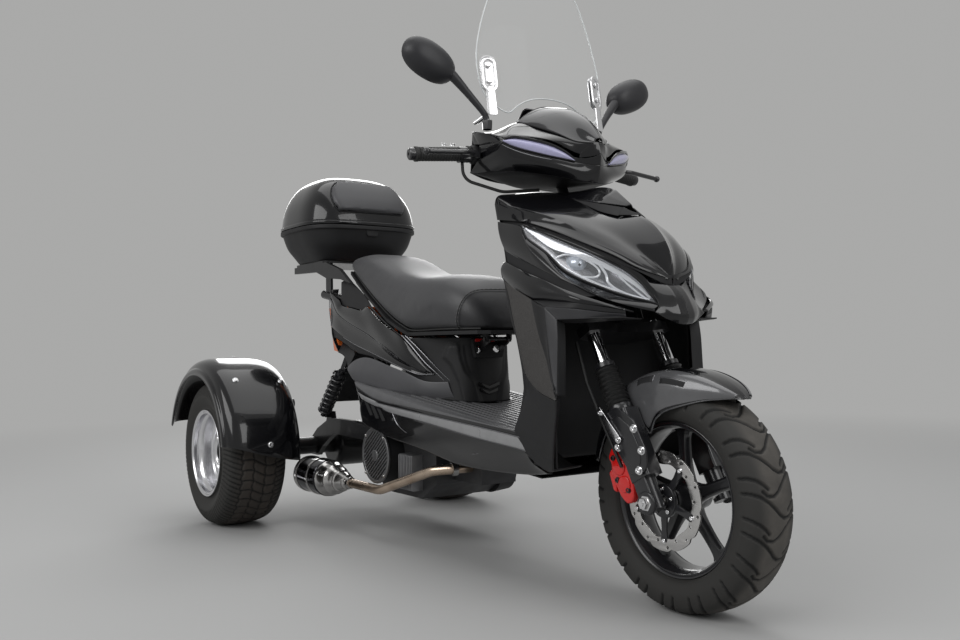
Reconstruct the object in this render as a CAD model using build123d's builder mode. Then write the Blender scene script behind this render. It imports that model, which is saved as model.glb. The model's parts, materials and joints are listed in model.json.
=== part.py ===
"""Three-wheeled scooter with a raised rear axle, step-through floor, telescopic fork and top box.

Millimetres. X points forward, Y to the rider's left, Z up, and the ground is z = 0. The origin lies under
the middle of the whole vehicle. Body outlines give X from the rear axle, and the fork has a frame of its
own whose Z axis climbs along the fork from the front axle.
"""

import os
from math import cos, radians, sin, tan

from build123d import *

# ---------------------------------------------------------------- driving dimensions
wheelbase = 1650.0
rear_track = 843.0
rake = 27.5
fork_half_spacing = 101.0
stem_offset = 28.0

front_tyre_radius = 243.5
front_tyre_width = 130.0
front_rim_radius = 158.0
front_flange_radius = 167.5
front_rim_half_width = 46.0
front_hub_radius = 30.0
front_axle_radius = 8.0

rear_tyre_radius = 240.0
rear_tyre_width = 205.0
rear_rim_radius = 130.0
rear_flange_radius = 142.0
rear_rim_half_width = 98.0
rear_hub_radius = 38.0
rear_axle_radius = 14.0

fender_radius = 312.0
fender_outer_half = 555.0
fender_inner_half = 302.0
fender_rear_angle = 17.0
fender_wall = 3.0
fender_drop = 15.0

disc_radius = 107.0
disc_inner_radius = 78.0
disc_thickness = 4.0
disc_offset = 73.0

fork_tube_radius = 16.5
fork_leg_radius = 20.0
gaiter_radius = 27.0
gaiter_start = 212.0
gaiter_end = 324.0
clamp_start = 404.0
clamp_height = 24.0
stem_radius = 14.0
stem_top = 905.0
head_tube_radius = 26.0
head_tube_start = 446.0
head_tube_end = 790.0

bar_radius = 11.0
bar_setback = 515.0
bar_z = 1062.0
bar_straight_half = 190.0
bar_end_half = 362.0
bar_end_back = 24.0
bar_end_drop = 12.0
grip_radius = 17.0
grip_length = 118.0

deck_half_width = 205.0
deck_thickness = 24.0
body_wall = 3.5
leg_shield_wall = 4.0

seat_pan_thickness = 10.0
box_centre_x = 15.0
box_floor_z = 880.0
box_rim_z = 998.0
box_top_z = 1184.0
box_length = 404.0
box_width = 432.0
box_wall = 3.5

screen_thickness = 4.0
screen_radius = 620.0
screen_lean = 8.0

# clearances between pieces
running_gap = 0.3
seat_gap = 0.3
panel_gap = 1.5
joint_gap = 6.0

# ---------------------------------------------------------------- places worked out from them
rear_reach = fender_radius * cos(radians(fender_rear_angle))
rear_x = -(wheelbase + front_tyre_radius - rear_reach) / 2
front_x = rear_x + wheelbase
rear_wheel_y = rear_track / 2

side = Plane(origin=(rear_x, 0, 0), x_dir=(1, 0, 0), z_dir=(0, -1, 0))
plan = Plane(origin=(rear_x, 0, 0))
front_view = Plane(origin=(rear_x, 0, 0), x_dir=(0, 1, 0), z_dir=(1, 0, 0))
front_axle_point = (front_x, 0, front_tyre_radius)
rear_axle_point = (rear_x, 0, rear_tyre_radius)
rake_up = Vector(-sin(radians(rake)), 0, cos(radians(rake)))
rake_forward = Vector(cos(radians(rake)), 0, sin(radians(rake)))
fork = Plane(origin=front_axle_point, x_dir=tuple(rake_forward), z_dir=tuple(rake_up))
wheel_axis_front = Axis(front_axle_point, (0, 1, 0))
wheel_axis_rear = Axis(rear_axle_point, (0, 1, 0))
wb = wheelbase
bar_x = wb - bar_setback

os.makedirs("parts", exist_ok=True)


def save(piece, name):
    piece.label = name
    export_step(piece, f"parts/{name}.step")


def mirrored(half_points):
    """Closed outline from a half outline given as (along, half width)."""
    return list(half_points) + [(a, -h) for a, h in reversed(half_points)]


def fork_point(forward, y, up):
    """Point of the fork's frame, in the vehicle's frame."""
    return fork.from_local_coords((forward, y, up))


def core(outline, plan_half=None, front_half=None, inset=0.0, side_inset=0.0):
    """Solid with this side outline, cut to a plan outline and a front outline, drawn in by inset."""
    with BuildPart() as solid:
        with BuildSketch(side):
            with BuildLine():
                Polyline(*outline, close=True)
            make_face()
            if side_inset:
                offset(amount=-side_inset, kind=Kind.INTERSECTION)
        extrude(amount=700, both=True)
        if plan_half:
            with BuildSketch(plan):
                with BuildLine():
                    Polyline(*mirrored(plan_half), close=True)
                make_face()
                if inset:
                    offset(amount=-inset, kind=Kind.INTERSECTION)
            extrude(amount=2000, mode=Mode.INTERSECT)
        if front_half:
            with BuildSketch(front_view):
                with BuildLine():
                    Polyline(*[(h, z) for z, h in mirrored(front_half)], close=True)
                make_face()
                if inset:
                    offset(amount=-inset, kind=Kind.INTERSECTION)
            extrude(amount=3000, both=True, mode=Mode.INTERSECT)
    return solid.part


def shell(outline, openings, plan_half, front_half, wall):
    """Hollow cover of that core, with each opening outline cut out between its side walls."""
    with BuildPart() as cover:
        add(core(outline, plan_half, front_half))
        add(core(outline, plan_half, front_half, wall, wall), mode=Mode.SUBTRACT)
        for opening in openings:
            add(core(opening, plan_half, front_half, wall), mode=Mode.SUBTRACT)
    return cover.part


def tube(points, bends, radius, bore=0.0):
    """Round tube along straight runs joined by arcs."""
    with BuildPart() as pipe:
        with BuildLine() as path:
            if bends:
                FilletPolyline(*points, radius=bends)
            else:
                Polyline(*points)
        start = Vector(*points[0])
        towards = Vector(*points[1]) - start
        with BuildSketch(Plane(origin=tuple(start), z_dir=tuple(towards))):
            Circle(radius)
            if bore:
                Circle(bore, mode=Mode.SUBTRACT)
        sweep(path=path.line)
    return pipe.part


def body_point(x, y, z):
    """Point with X from the rear axle."""
    return (rear_x + x, y, z)


# ================================================================ wheels
def tyre(centre_axis, plane, radius, width, bead_radius, bead_half, flange_radius):
    """Solid tyre ring: rounded crown, bulging sidewalls, and beads that sit between the rim's flanges."""
    half = width / 2
    wall = radius - flange_radius
    with BuildPart() as ring:
        with BuildSketch(plane):
            with BuildLine():
                Polyline(
                    (-bead_half, bead_radius),
                    (bead_half, bead_radius),
                    (bead_half, flange_radius),
                    (half * 0.88, flange_radius + wall * 0.12),
                    (half, flange_radius + wall * 0.42),
                    (half * 0.93, flange_radius + wall * 0.74),
                    (half * 0.62, flange_radius + wall * 0.94),
                    (half * 0.25, radius),
                    (-half * 0.25, radius),
                    (-half * 0.62, flange_radius + wall * 0.94),
                    (-half * 0.93, flange_radius + wall * 0.74),
                    (-half, flange_radius + wall * 0.42),
                    (-half * 0.88, flange_radius + wall * 0.12),
                    (-bead_half, flange_radius),
                    close=True,
                )
            make_face()
        revolve(axis=centre_axis)
    return ring.part


def wheel_section(centre, y):
    """Plane through the wheel's axis: local X is the vehicle's Y, local Y is the radius."""
    return Plane(origin=(centre[0], y, centre[2]), x_dir=(0, 1, 0), z_dir=(1, 0, 0))


front_section = wheel_section(front_axle_point, 0)
save(tyre(wheel_axis_front, front_section, front_tyre_radius, front_tyre_width,
          front_rim_radius + running_gap, front_rim_half_width - 4 - running_gap,
          front_flange_radius + running_gap), "front_tyre")

spoke_count = 5
spoke_width = 30.0
spoke_depth = 26.0
rim_thickness = 7.0
hub_half = 52.0
with BuildPart() as front_rim:
    with BuildSketch(front_section):
        with BuildLine():
            Polyline(
                (-front_rim_half_width, front_flange_radius),
                (-front_rim_half_width, front_rim_radius - rim_thickness),
                (front_rim_half_width, front_rim_radius - rim_thickness),
                (front_rim_half_width, front_flange_radius),
                (front_rim_half_width - 4, front_flange_radius),
                (front_rim_half_width - 4, front_rim_radius),
                (4 - front_rim_half_width, front_rim_radius),
                (4 - front_rim_half_width, front_flange_radius),
                close=True,
            )
        make_face()
    revolve(axis=wheel_axis_front)
    with BuildSketch(Plane(origin=front_axle_point, x_dir=(1, 0, 0), z_dir=(0, 1, 0))):
        Circle(front_hub_radius)
    extrude(amount=hub_half, both=True)
    with BuildSketch(Plane(origin=front_axle_point, x_dir=(1, 0, 0), z_dir=(0, 1, 0))):
        with PolarLocations(0, spoke_count, start_angle=18):
            with Locations(((front_hub_radius + front_rim_radius - rim_thickness) / 2, 0)):
                Rectangle(front_rim_radius - rim_thickness - front_hub_radius + 8, spoke_width)
    extrude(amount=spoke_depth / 2, both=True)
    with BuildSketch(Plane(origin=front_axle_point, x_dir=(1, 0, 0), z_dir=(0, 1, 0))):
        Circle(front_axle_radius + running_gap)
    extrude(amount=2 * hub_half, both=True, mode=Mode.SUBTRACT)
save(front_rim.part, "front_rim")

disc_holes = 20
disc_arms = 5
disc_plane = Plane(origin=(front_x, -disc_offset + disc_thickness / 2, front_tyre_radius),
                   x_dir=(1, 0, 0), z_dir=(0, -1, 0))
with BuildPart() as brake_disc:
    with BuildSketch(disc_plane):
        Circle(disc_radius)
        Circle(disc_inner_radius, mode=Mode.SUBTRACT)
        with PolarLocations(0, disc_arms, start_angle=54):
            with Locations(((front_hub_radius + disc_inner_radius) / 2, 0)):
                Rectangle(disc_inner_radius - front_hub_radius + 8, 16)
        Circle(front_hub_radius + 4)
        Circle(front_axle_radius + running_gap + 4, mode=Mode.SUBTRACT)
        with PolarLocations(disc_radius - 9, disc_holes):
            Circle(2.6, mode=Mode.SUBTRACT)
        with PolarLocations(disc_inner_radius + 8, disc_holes, start_angle=9):
            Circle(2.6, mode=Mode.SUBTRACT)
    extrude(amount=disc_thickness)
    with BuildSketch(disc_plane):
        Circle(front_hub_radius + 4)
        Circle(front_axle_radius + running_gap + 4, mode=Mode.SUBTRACT)
    extrude(amount=-(disc_offset - disc_thickness / 2 - hub_half))
save(brake_disc.part, "brake_disc")

dish_depth = 78.0
lug_radius = 50.0
for side_name, sign in (("right", -1), ("left", 1)):
    centre_y = sign * rear_wheel_y
    section = wheel_section(rear_axle_point, centre_y)
    save(tyre(wheel_axis_rear, section, rear_tyre_radius, rear_tyre_width,
              rear_rim_radius + running_gap, rear_rim_half_width - 5 - running_gap,
              rear_flange_radius + running_gap), f"rear_tyre_{side_name}")
    out = sign
    with BuildPart() as rear_rim:
        with BuildSketch(section):
            with BuildLine():
                Polyline(
                    (-rear_rim_half_width, rear_flange_radius),
                    (-rear_rim_half_width, rear_rim_radius - 6),
                    (rear_rim_half_width, rear_rim_radius - 6),
                    (rear_rim_half_width, rear_flange_radius),
                    (rear_rim_half_width - 5, rear_flange_radius),
                    (rear_rim_half_width - 5, rear_rim_radius),
                    (5 - rear_rim_half_width, rear_rim_radius),
                    (5 - rear_rim_half_width, rear_flange_radius),
                    close=True,
                )
            make_face()
        revolve(axis=wheel_axis_rear)
        dish_y = centre_y + out * (rear_rim_half_width - dish_depth)
        dish = Plane(origin=(rear_x, dish_y, rear_tyre_radius), x_dir=(1, 0, 0), z_dir=(0, -out, 0))
        with BuildSketch(dish):
            Circle(rear_rim_radius - 5)
            Circle(rear_axle_radius + running_gap, mode=Mode.SUBTRACT)
            with PolarLocations(rear_rim_radius * 0.68, 8):
                Circle(13, mode=Mode.SUBTRACT)
        extrude(amount=10)
        with BuildSketch(dish):
            Circle(rear_hub_radius)
            Circle(rear_axle_radius + running_gap, mode=Mode.SUBTRACT)
        extrude(amount=60)
        with BuildSketch(dish):
            with PolarLocations(lug_radius, 4, start_angle=45):
                Circle(9)
        extrude(amount=-16)
        with BuildSketch(dish):
            Circle(rear_hub_radius - 8)
            Circle(rear_axle_radius + running_gap, mode=Mode.SUBTRACT)
        extrude(amount=-24)
    save(rear_rim.part, f"rear_rim_{side_name}")

# ================================================================ rear axle, engine and exhaust
axle_tube_radius = 30.0
hub_face_y = rear_wheel_y + rear_rim_half_width - dish_depth - 60 - 4
axle_pin_end = hub_face_y + 60 + 4 + 20
swing_half = 118.0
swing_pivot = (425.0, 300.0)
shock_top = (262.0, 505.0)
shock_bottom = (118.0, 352.0)
shock_y = 150.0
shock_rod_radius = 9.0
shock_eye_radius = 9.0
with BuildPart() as rear_swing_frame:
    with BuildSketch(Plane(origin=rear_axle_point, x_dir=(1, 0, 0), z_dir=(0, 1, 0))):
        Circle(axle_tube_radius)
    extrude(amount=hub_face_y - running_gap, both=True)
    with BuildSketch(Plane(origin=rear_axle_point, x_dir=(1, 0, 0), z_dir=(0, 1, 0))):
        Circle(rear_axle_radius)
    extrude(amount=axle_pin_end, both=True)
    with BuildSketch(Plane(origin=rear_axle_point, x_dir=(1, 0, 0), z_dir=(0, 1, 0))):
        Circle(78)
    extrude(amount=64, both=True)
    housing_rims = rear_swing_frame.edges().filter_by(GeomType.CIRCLE)
    fillet(housing_rims.filter_by(lambda e: abs(e.radius - 78) < 0.1), 18)
    for sign in (-1, 1):
        with BuildSketch(side.offset(sign * swing_half)):
            with BuildLine():
                Polyline((-34, 262), (20, 300), (shock_bottom[0] - 24, shock_bottom[1] - 22),
                         (shock_bottom[0] - 12, shock_bottom[1] + 12),
                         (shock_bottom[0] + 12, shock_bottom[1] + 12),
                         (shock_bottom[0] + 20, shock_bottom[1] - 12), (150, 342), (300, 340),
                         (swing_pivot[0] + 22, 322),
                         (swing_pivot[0] + 22, 280), (300, 286), (150, 290), (60, 240), (20, 206),
                         (-34, 206),
                         close=True)
            make_face()
            with Locations(swing_pivot):
                Circle(9, mode=Mode.SUBTRACT)
        extrude(amount=9, both=True)
        with BuildSketch(side.offset(sign * swing_half)):
            with Locations(shock_bottom):
                Circle(shock_eye_radius)
        extrude(amount=sign * (shock_y - swing_half - shock_rod_radius - seat_gap))
    with BuildSketch(side):
        with Locations((225, 316)):
            Rectangle(40, 30)
    extrude(amount=swing_half, both=True)
save(rear_swing_frame.part, "rear_swing_frame")

engine_back, engine_front = 455.0, 800.0
engine_bottom, engine_top = 138.0, 300.0
engine_half = 118.0
cylinder_front = 930.0
with BuildPart() as engine_block:
    with BuildSketch(side):
        with BuildLine():
            Polyline((engine_back, engine_bottom + 40), (engine_back + 50, engine_bottom),
                     (engine_front - 80, engine_bottom), (engine_front, engine_bottom + 50),
                     (engine_front, engine_top - 30), (engine_front - 40, engine_top),
                     (engine_back + 30, engine_top), (engine_back, engine_top - 40), close=True)
        make_face()
    extrude(amount=engine_half, both=True)
    with BuildSketch(side):
        with Locations(((engine_front + cylinder_front) / 2, 238)):
            Rectangle(cylinder_front - engine_front + 20, 84)
    extrude(amount=58, both=True)
save(engine_block.part, "engine_block")

fan_centre = (536.0, 252.0)
fan_radius = 86.0
fan_depth = 52.0
fan_ribs = 9
cvt_start, cvt_end = (250.0, 205.0), (720.0, 205.0)
with BuildPart() as engine_covers:
    with BuildSketch(side.offset(engine_half + seat_gap)):
        with Locations(fan_centre):
            Circle(fan_radius)
    extrude(amount=fan_depth, taper=6)
    with BuildSketch(side.offset(engine_half + seat_gap + fan_depth)):
        with Locations(fan_centre):
            with Locations((0, 0)):
                Circle(fan_radius - 20)
            Circle(12, mode=Mode.SUBTRACT)
            with GridLocations(14, 0, fan_ribs, 1):
                Rectangle(6, 2 * fan_radius, rotation=0, mode=Mode.SUBTRACT)
    extrude(amount=-5, mode=Mode.SUBTRACT)
    with BuildSketch(side.offset(-(engine_half + seat_gap))):
        with Locations(((cvt_start[0] + cvt_end[0]) / 2, (cvt_start[1] + cvt_end[1]) / 2)):
            SlotCenterToCenter(cvt_end[0] - cvt_start[0], 140)
    extrude(amount=-58, taper=5)
save(engine_covers.part, "engine_covers")

muffler_y = -192.0
muffler_z = 156.0
muffler_back, muffler_front = 52.0, 216.0
muffler_radius = 70.0
pipe_radius = 14.0
cone_front = 402.0
muffler_axis_origin = body_point(muffler_back, muffler_y, muffler_z)
along_muffler = Plane(origin=muffler_axis_origin, x_dir=(0, 0, 1), z_dir=(0, -1, 0))
with BuildPart() as muffler:
    with BuildSketch(along_muffler):
        with BuildLine():
            can = muffler_front - muffler_back
            cone = cone_front - muffler_back
            Polyline((0, 0), (0, 14), (20, 14), (20, -8), (muffler_radius - 14, -8), (muffler_radius, -16),
                     (muffler_radius, -can), (muffler_radius - 12, -can - 14), (44, -can - 52),
                     (40, -can - 62), (44, -can - 72), (32, -can - 112), (pipe_radius + 4, -cone),
                     (0, -cone), close=True)
        make_face()
    revolve(axis=Axis(muffler_axis_origin, (1, 0, 0)))
save(muffler.part, "muffler")

pipe_route = [
    body_point(cone_front + seat_gap, muffler_y, muffler_z),
    body_point(600, muffler_y, muffler_z),
    body_point(830, -150, 232),
    body_point(885, -112, 240),
    body_point(885, -58 - seat_gap, 240),
]
save(tube(pipe_route, [120, 60, 30], pipe_radius, pipe_radius - 2), "exhaust_pipe")

with BuildPart() as rear_shocks:
    for sign in (-1, 1):
        bottom = Vector(*body_point(shock_bottom[0], sign * shock_y, shock_bottom[1]))
        top = Vector(*body_point(shock_top[0], sign * shock_y, shock_top[1]))
        length = (top - bottom).length
        strut = Plane(origin=tuple(bottom), x_dir=(0, 1, 0), z_dir=tuple(top - bottom))
        with BuildSketch(strut):
            Circle(shock_rod_radius)
        extrude(amount=length)
        with BuildSketch(strut.offset(22)):
            Circle(21)
        extrude(amount=length - 70)
        with BuildSketch(strut.offset(length - 60)):
            Circle(16)
        extrude(amount=48)
save(rear_shocks.part, "rear_shocks")

# ================================================================ rear fenders
with BuildPart() as rear_fenders:
    for sign in (-1, 1):
        arch = Plane(origin=rear_axle_point, x_dir=(1, 0, 0), z_dir=(0, 0, 1))
        with BuildSketch(arch) as fender_section:
            with BuildLine():
                o, i, w = fender_outer_half, fender_inner_half, fender_wall
                r = fender_radius
                half = [(r - 34, o), (r - 18, o), (r - 6, o - 8), (r, o - 30), (r, i + 60), (r - 8, i + 26),
                        (r - 34, i), (r - 70, i), (r - 70, i + w), (r - 34 - w / 2, i + w),
                        (r - 8 - w, i + 26 + w), (r - w, i + 60), (r - w, o - 30 - w),
                        (r - 6 - w, o - 8 - w),
                        (r - 18 - w, o - w), (r - 34, o - w)]
                Polyline(*[(a, sign * b) for a, b in half], close=True)
            make_face()
        revolve(axis=Axis(rear_axle_point, (0, -1, 0)), revolution_arc=180 - fender_rear_angle)
        extrude(fender_section.sketch, amount=-fender_drop)
save(rear_fenders.part, "rear_fenders")

fender_stay_y = fender_inner_half - seat_gap
stay_ends = ((-185, 415), (205, 402))
with BuildPart() as fender_stays:
    for sign in (-1, 1):
        with BuildSketch(side.offset(-sign * fender_stay_y)):
            with Locations((0, rear_tyre_radius)):
                Circle(52)
            for end in stay_ends:
                with BuildLine():
                    Line((0, rear_tyre_radius), end)
                    offset(amount=15)
                make_face()
            with Locations((0, rear_tyre_radius)):
                Circle(axle_tube_radius + seat_gap, mode=Mode.SUBTRACT)
        extrude(amount=sign * 6)
save(fender_stays.part, "fender_stays")

# ================================================================ floor and lower body
deck_rear, deck_front = 400.0, wb - 372.0
deck_rear_z = 484.0
deck_slope = 0.126


def deck_top(x):
    return deck_rear_z - (x - deck_rear) * deck_slope


def deck_under(x):
    return deck_top(x) - deck_thickness


deck_outline = [(deck_rear, deck_top(deck_rear)), (deck_front, deck_top(deck_front)),
                (deck_front, deck_under(deck_front)), (deck_rear, deck_under(deck_rear))]
deck_plan = [(deck_rear - 1, deck_half_width - 25), (deck_rear + 90, deck_half_width),
             (deck_front - 30, deck_half_width), (deck_front + 1, deck_half_width - 8)]
rail_radius = 15.0
rail_half = 112.0
neck_radius = 19.0
neck_foot_x = wb - 402.0
deck_notch = [(775, rail_half + rail_radius + 5), (835, 94), (864, 60), (874, 42)]
with BuildPart() as foot_deck:
    add(core(deck_outline, deck_plan))
    with BuildSketch(plan):
        with BuildLine():
            Polyline(*mirrored([(deck_rear - 10, deck_notch[0][1])] + deck_notch), close=True)
        make_face()
        with BuildLine():
            Polyline((neck_foot_x - neck_radius - 6, -neck_radius - 6), (deck_front + 10, -neck_radius - 6),
                     (deck_front + 10, neck_radius + 6), (neck_foot_x - neck_radius - 6, neck_radius + 6),
                     close=True)
        make_face()
    extrude(amount=900, mode=Mode.SUBTRACT)
save(foot_deck.part, "foot_deck")

skirt_front = deck_front - 2
skirt_outline = [(deck_rear + 2, deck_under(deck_rear) - seat_gap),
                 (skirt_front, deck_under(skirt_front) - seat_gap),
                 (skirt_front, 262), (1060, 281), (700, 328), (480, 368), (deck_rear + 2, 392)]
skirt_front_half = [(220, 150), (262, 160), (330, deck_half_width - 6), (370, deck_half_width),
                    (520, deck_half_width)]
with BuildPart() as side_skirts:
    add(core(skirt_outline, deck_plan, skirt_front_half))
    add(core([(0, 200), (wb, 200), (wb, 700), (0, 700)],
             [(deck_rear - 60, deck_plan[0][1]), deck_plan[1], deck_plan[2],
              (deck_front + 60, deck_plan[3][1])],
             [(180, 140)] + skirt_front_half[1:], body_wall), mode=Mode.SUBTRACT)
save(side_skirts.part, "side_skirts")

# ================================================================ main frame
strut_radius = 11.0
seat_hinge = (943.0, 598.0)
hinge_pin_radius = 5.0
hinge_plate = 6.0
hinge_plate_y = 30.0
stand_x = 848.0


def rail_z(x):
    return deck_under(x) - rail_radius * 1.008 - seat_gap


stem_line = Plane(origin=tuple(fork_point(-stem_offset, 0, 0)), x_dir=tuple(rake_forward),
                  z_dir=tuple(rake_up))
neck_start = stem_line.from_local_coords((0, 0, (head_tube_start + head_tube_end) / 2))
with BuildPart() as main_frame:
    with BuildSketch(stem_line.offset(head_tube_start)):
        Circle(head_tube_radius)
    extrude(amount=head_tube_end - head_tube_start)
    add(tube([tuple(neck_start), body_point(neck_foot_x + 30, 0, 600),
              body_point(neck_foot_x, 0, rail_z(neck_foot_x))], [80], neck_radius))
    for sign in (-1, 1):
        add(tube([body_point(neck_foot_x, 0, rail_z(neck_foot_x)),
                  body_point(neck_foot_x - 20, sign * rail_half, rail_z(neck_foot_x - 20)),
                  body_point(560, sign * rail_half, rail_z(560)),
                  body_point(400, sign * rail_half, 610),
                  body_point(262, sign * rail_half, 732),
                  body_point(60, sign * rail_half, 768)], [18, 120, 90, 120], rail_radius))
        add(tube([body_point(500, sign * rail_half, rail_z(560) + 50),
                  body_point(shock_top[0], sign * rail_half, shock_top[1]),
                  body_point(200, sign * rail_half, 743)], [40], strut_radius))
        with BuildSketch(side.offset(sign * (rail_half - rail_radius + 4))):
            with BuildLine():
                Polyline((swing_pivot[0] - 25, 500), (swing_pivot[0] + 60, 500), (swing_pivot[0] + 24, 400),
                         (swing_pivot[0] + 20, 282), (swing_pivot[0] - 20, 282), (swing_pivot[0] - 20, 400),
                         close=True)
            make_face()
        extrude(amount=sign * 6)
        with BuildSketch(side.offset(sign * (rail_half - rail_radius + 4))):
            with Locations(swing_pivot):
                Circle(9 - running_gap)
        extrude(amount=sign * 40)
        with BuildSketch(side.offset(sign * rail_half)):
            with Locations(shock_top):
                Circle(shock_eye_radius)
        extrude(amount=sign * (shock_y - rail_half - shock_rod_radius - seat_gap))
    for x, z in ((neck_foot_x - 60, None), (700, None), (330, 672), (120, 757)):
        with BuildSketch(side):
            with Locations((x, rail_z(x) if z is None else z)):
                Circle(strut_radius)
        extrude(amount=rail_half, both=True)
    with BuildSketch(side):
        with BuildLine():
            Polyline((680, rail_z(700)), (720, rail_z(700)), (720, engine_top + seat_gap),
                     (680, engine_top + seat_gap), close=True)
        make_face()
    extrude(amount=22, both=True)
    with BuildSketch(side):
        with Locations((stand_x, rail_z(stand_x))):
            Circle(strut_radius)
    extrude(amount=rail_half, both=True)
    for sign in (-1, 1):
        with BuildSketch(side.offset(sign * hinge_plate_y)):
            with BuildLine():
                Polyline((stand_x - 12, rail_z(stand_x)), (stand_x + 12, rail_z(stand_x)),
                         (stand_x + 22, 540),
                         (seat_hinge[0] + 7, seat_hinge[1] - 10), (seat_hinge[0] + 9, seat_hinge[1]),
                         (seat_hinge[0] + 6, seat_hinge[1] + 7), (seat_hinge[0] - 6, seat_hinge[1] + 7),
                         (stand_x, 570), close=True)
            make_face()
        extrude(amount=sign * hinge_plate)
    with BuildSketch(side):
        with Locations(seat_hinge):
            Circle(hinge_pin_radius)
    extrude(amount=hinge_plate_y + 2 * hinge_plate + 4, both=True)
    with BuildSketch(stem_line.offset(head_tube_start)):
        Circle(stem_radius + running_gap)
    extrude(amount=head_tube_end - head_tube_start, mode=Mode.SUBTRACT)
save(main_frame.part, "main_frame")

# ================================================================ seat, bin and rear body
seat_floor = [(1012, 622), (700, 622), (560, 668), (430, 738), (318, 806), (246, 836)]
seat_top_line = [(232, 858), (250, 884), (300, 890), (400, 872), (500, 838), (600, 806), (700, 789),
                 (800, 786), (900, 768), (965, 736), (1004, 690), (1018, 645)]
seat_plan = [(225, 78), (250, 112), (330, 132), (480, 142), (640, 156), (820, 156), (930, 138), (990, 106),
             (1020, 66)]
with BuildPart() as seat_cushion:
    add(core(seat_floor + seat_top_line, seat_plan))
save(seat_cushion.part, "seat_cushion")

pan_top = [(x, z - seat_gap) for x, z in seat_floor]
pan_under = [(x, z - seat_gap - seat_pan_thickness) for x, z in reversed(seat_floor)]
pan_half = [(x, h - 6) for x, h in seat_plan]
with BuildPart() as seat_pan:
    add(core(pan_top + pan_under, pan_half))
    for sign in (-1, 1):
        with BuildSketch(side.offset(sign * (hinge_plate_y + hinge_plate + 1))):
            with BuildLine():
                Polyline((seat_hinge[0] - 12, seat_floor[0][1] - 6), (seat_hinge[0] - 9, seat_hinge[1]),
                         (seat_hinge[0] - 5, seat_hinge[1] - 8), (seat_hinge[0] + 5, seat_hinge[1] - 8),
                         (seat_hinge[0] + 9, seat_hinge[1]), (seat_hinge[0] + 10, seat_floor[0][1] - 6),
                         close=True)
            make_face()
            with Locations(seat_hinge):
                Circle(hinge_pin_radius + running_gap, mode=Mode.SUBTRACT)
        extrude(amount=sign * hinge_plate)
save(seat_pan.part, "seat_pan")

rear_body_half = [(380, 184), (460, 182), (540, 173), (620, 160), (700, 146), (800, 128), (860, 122)]
panel_top = [(136, 788), (262, 806), (325, 782), (440, 715), (565, 650), (688, 607)]
panel_front = 842.0
rear_body_plan = [(40, 190), (560, 190), (650, 175), (720, 160), (790, 134), (845, 102), (880, 70), (905, 48),
                  (928, 32)]
panel_outline = panel_top + [(panel_front, 487), (panel_front, deck_top(panel_front) + seat_gap),
                             (deck_rear, deck_top(deck_rear) + seat_gap),
                             (345, 540), (228, 568), (172, 700)]
panel_inside = [(100, 850), (262, 850), (325, 800), (700, 700), (1010, 520), (1010, 380), (deck_rear, 380),
                (300, 500), (180, 500), (100, 700)]
with BuildPart() as side_panels:
    add(core(panel_outline, rear_body_plan, rear_body_half))
    add(core(panel_inside, rear_body_plan, rear_body_half, body_wall), mode=Mode.SUBTRACT)
save(side_panels.part, "side_panels")

base_back = panel_front + panel_gap
base_top = 606.0
base_face = [(893, base_top), (893, 560), (896, 510), (907, 466), (921, 430)]
base_outline = [(688 + panel_gap * 2, base_top)] + base_face + [
    (925, deck_top(925) + seat_gap), (base_back, deck_top(base_back) + seat_gap), (base_back, 487)]
base_inside = [(600, 700)] + [(x - body_wall, z) for x, z in [(893, 700)] + base_face] + [(918, 380),
                                                                                          (600, 380)]
with BuildPart() as seat_base_cover:
    add(core(base_outline, rear_body_plan, rear_body_half))
    add(core(base_inside, rear_body_plan, rear_body_half, body_wall), mode=Mode.SUBTRACT)
    for sign in (-1, 1):
        with BuildSketch(side.offset(sign * (hinge_plate_y - panel_gap))):
            with BuildLine():
                Polyline((stand_x, 545), (seat_hinge[0], 545), (seat_hinge[0], 700), (stand_x, 700),
                         close=True)
            make_face()
        extrude(amount=sign * (hinge_plate + 2 * panel_gap), mode=Mode.SUBTRACT)
save(seat_base_cover.part, "seat_base_cover")

bin_back, bin_front = 590.0, 823.0
bin_half = 92.0
bin_floor, bin_rim = 452.0, 604.0
bin_wall = 3.0
with BuildPart() as under_seat_bin:
    with BuildSketch(plan.offset(bin_floor)):
        with Locations(((bin_back + bin_front) / 2, 0)):
            RectangleRounded(bin_front - bin_back, 2 * bin_half, 30)
    extrude(amount=bin_rim - bin_floor)
    with BuildSketch(plan.offset(bin_floor + bin_wall)):
        with Locations(((bin_back + bin_front) / 2, 0)):
            RectangleRounded(bin_front - bin_back - 2 * bin_wall, 2 * bin_half - 2 * bin_wall, 27)
    extrude(amount=bin_rim - bin_floor, mode=Mode.SUBTRACT)
    for sign in (-1, 1):
        for x in (bin_back + 50, bin_front - 60):
            with BuildSketch(side.offset(sign * (bin_half - 10))):
                with BuildLine():
                    Polyline((x - 12, bin_floor + 2), (x + 12, bin_floor + 2), (x + 12, deck_under(x + 12)),
                             (x - 12, deck_under(x - 12)), close=True)
                make_face()
            extrude(amount=sign * (rail_half - bin_half + 14))
save(under_seat_bin.part, "under_seat_bin")

lens_outline = [(112, 716), (166, 722), (224, 566), (186, 572)]
with BuildPart() as tail_light:
    add(core(lens_outline, None, [(560, 140), (730, 120)]))
    add(core([(140, 740), (260, 740), (260, 540), (200, 540)], None, [(560, 140), (730, 120)], 14),
        mode=Mode.SUBTRACT)
save(tail_light.part, "tail_light")

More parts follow.
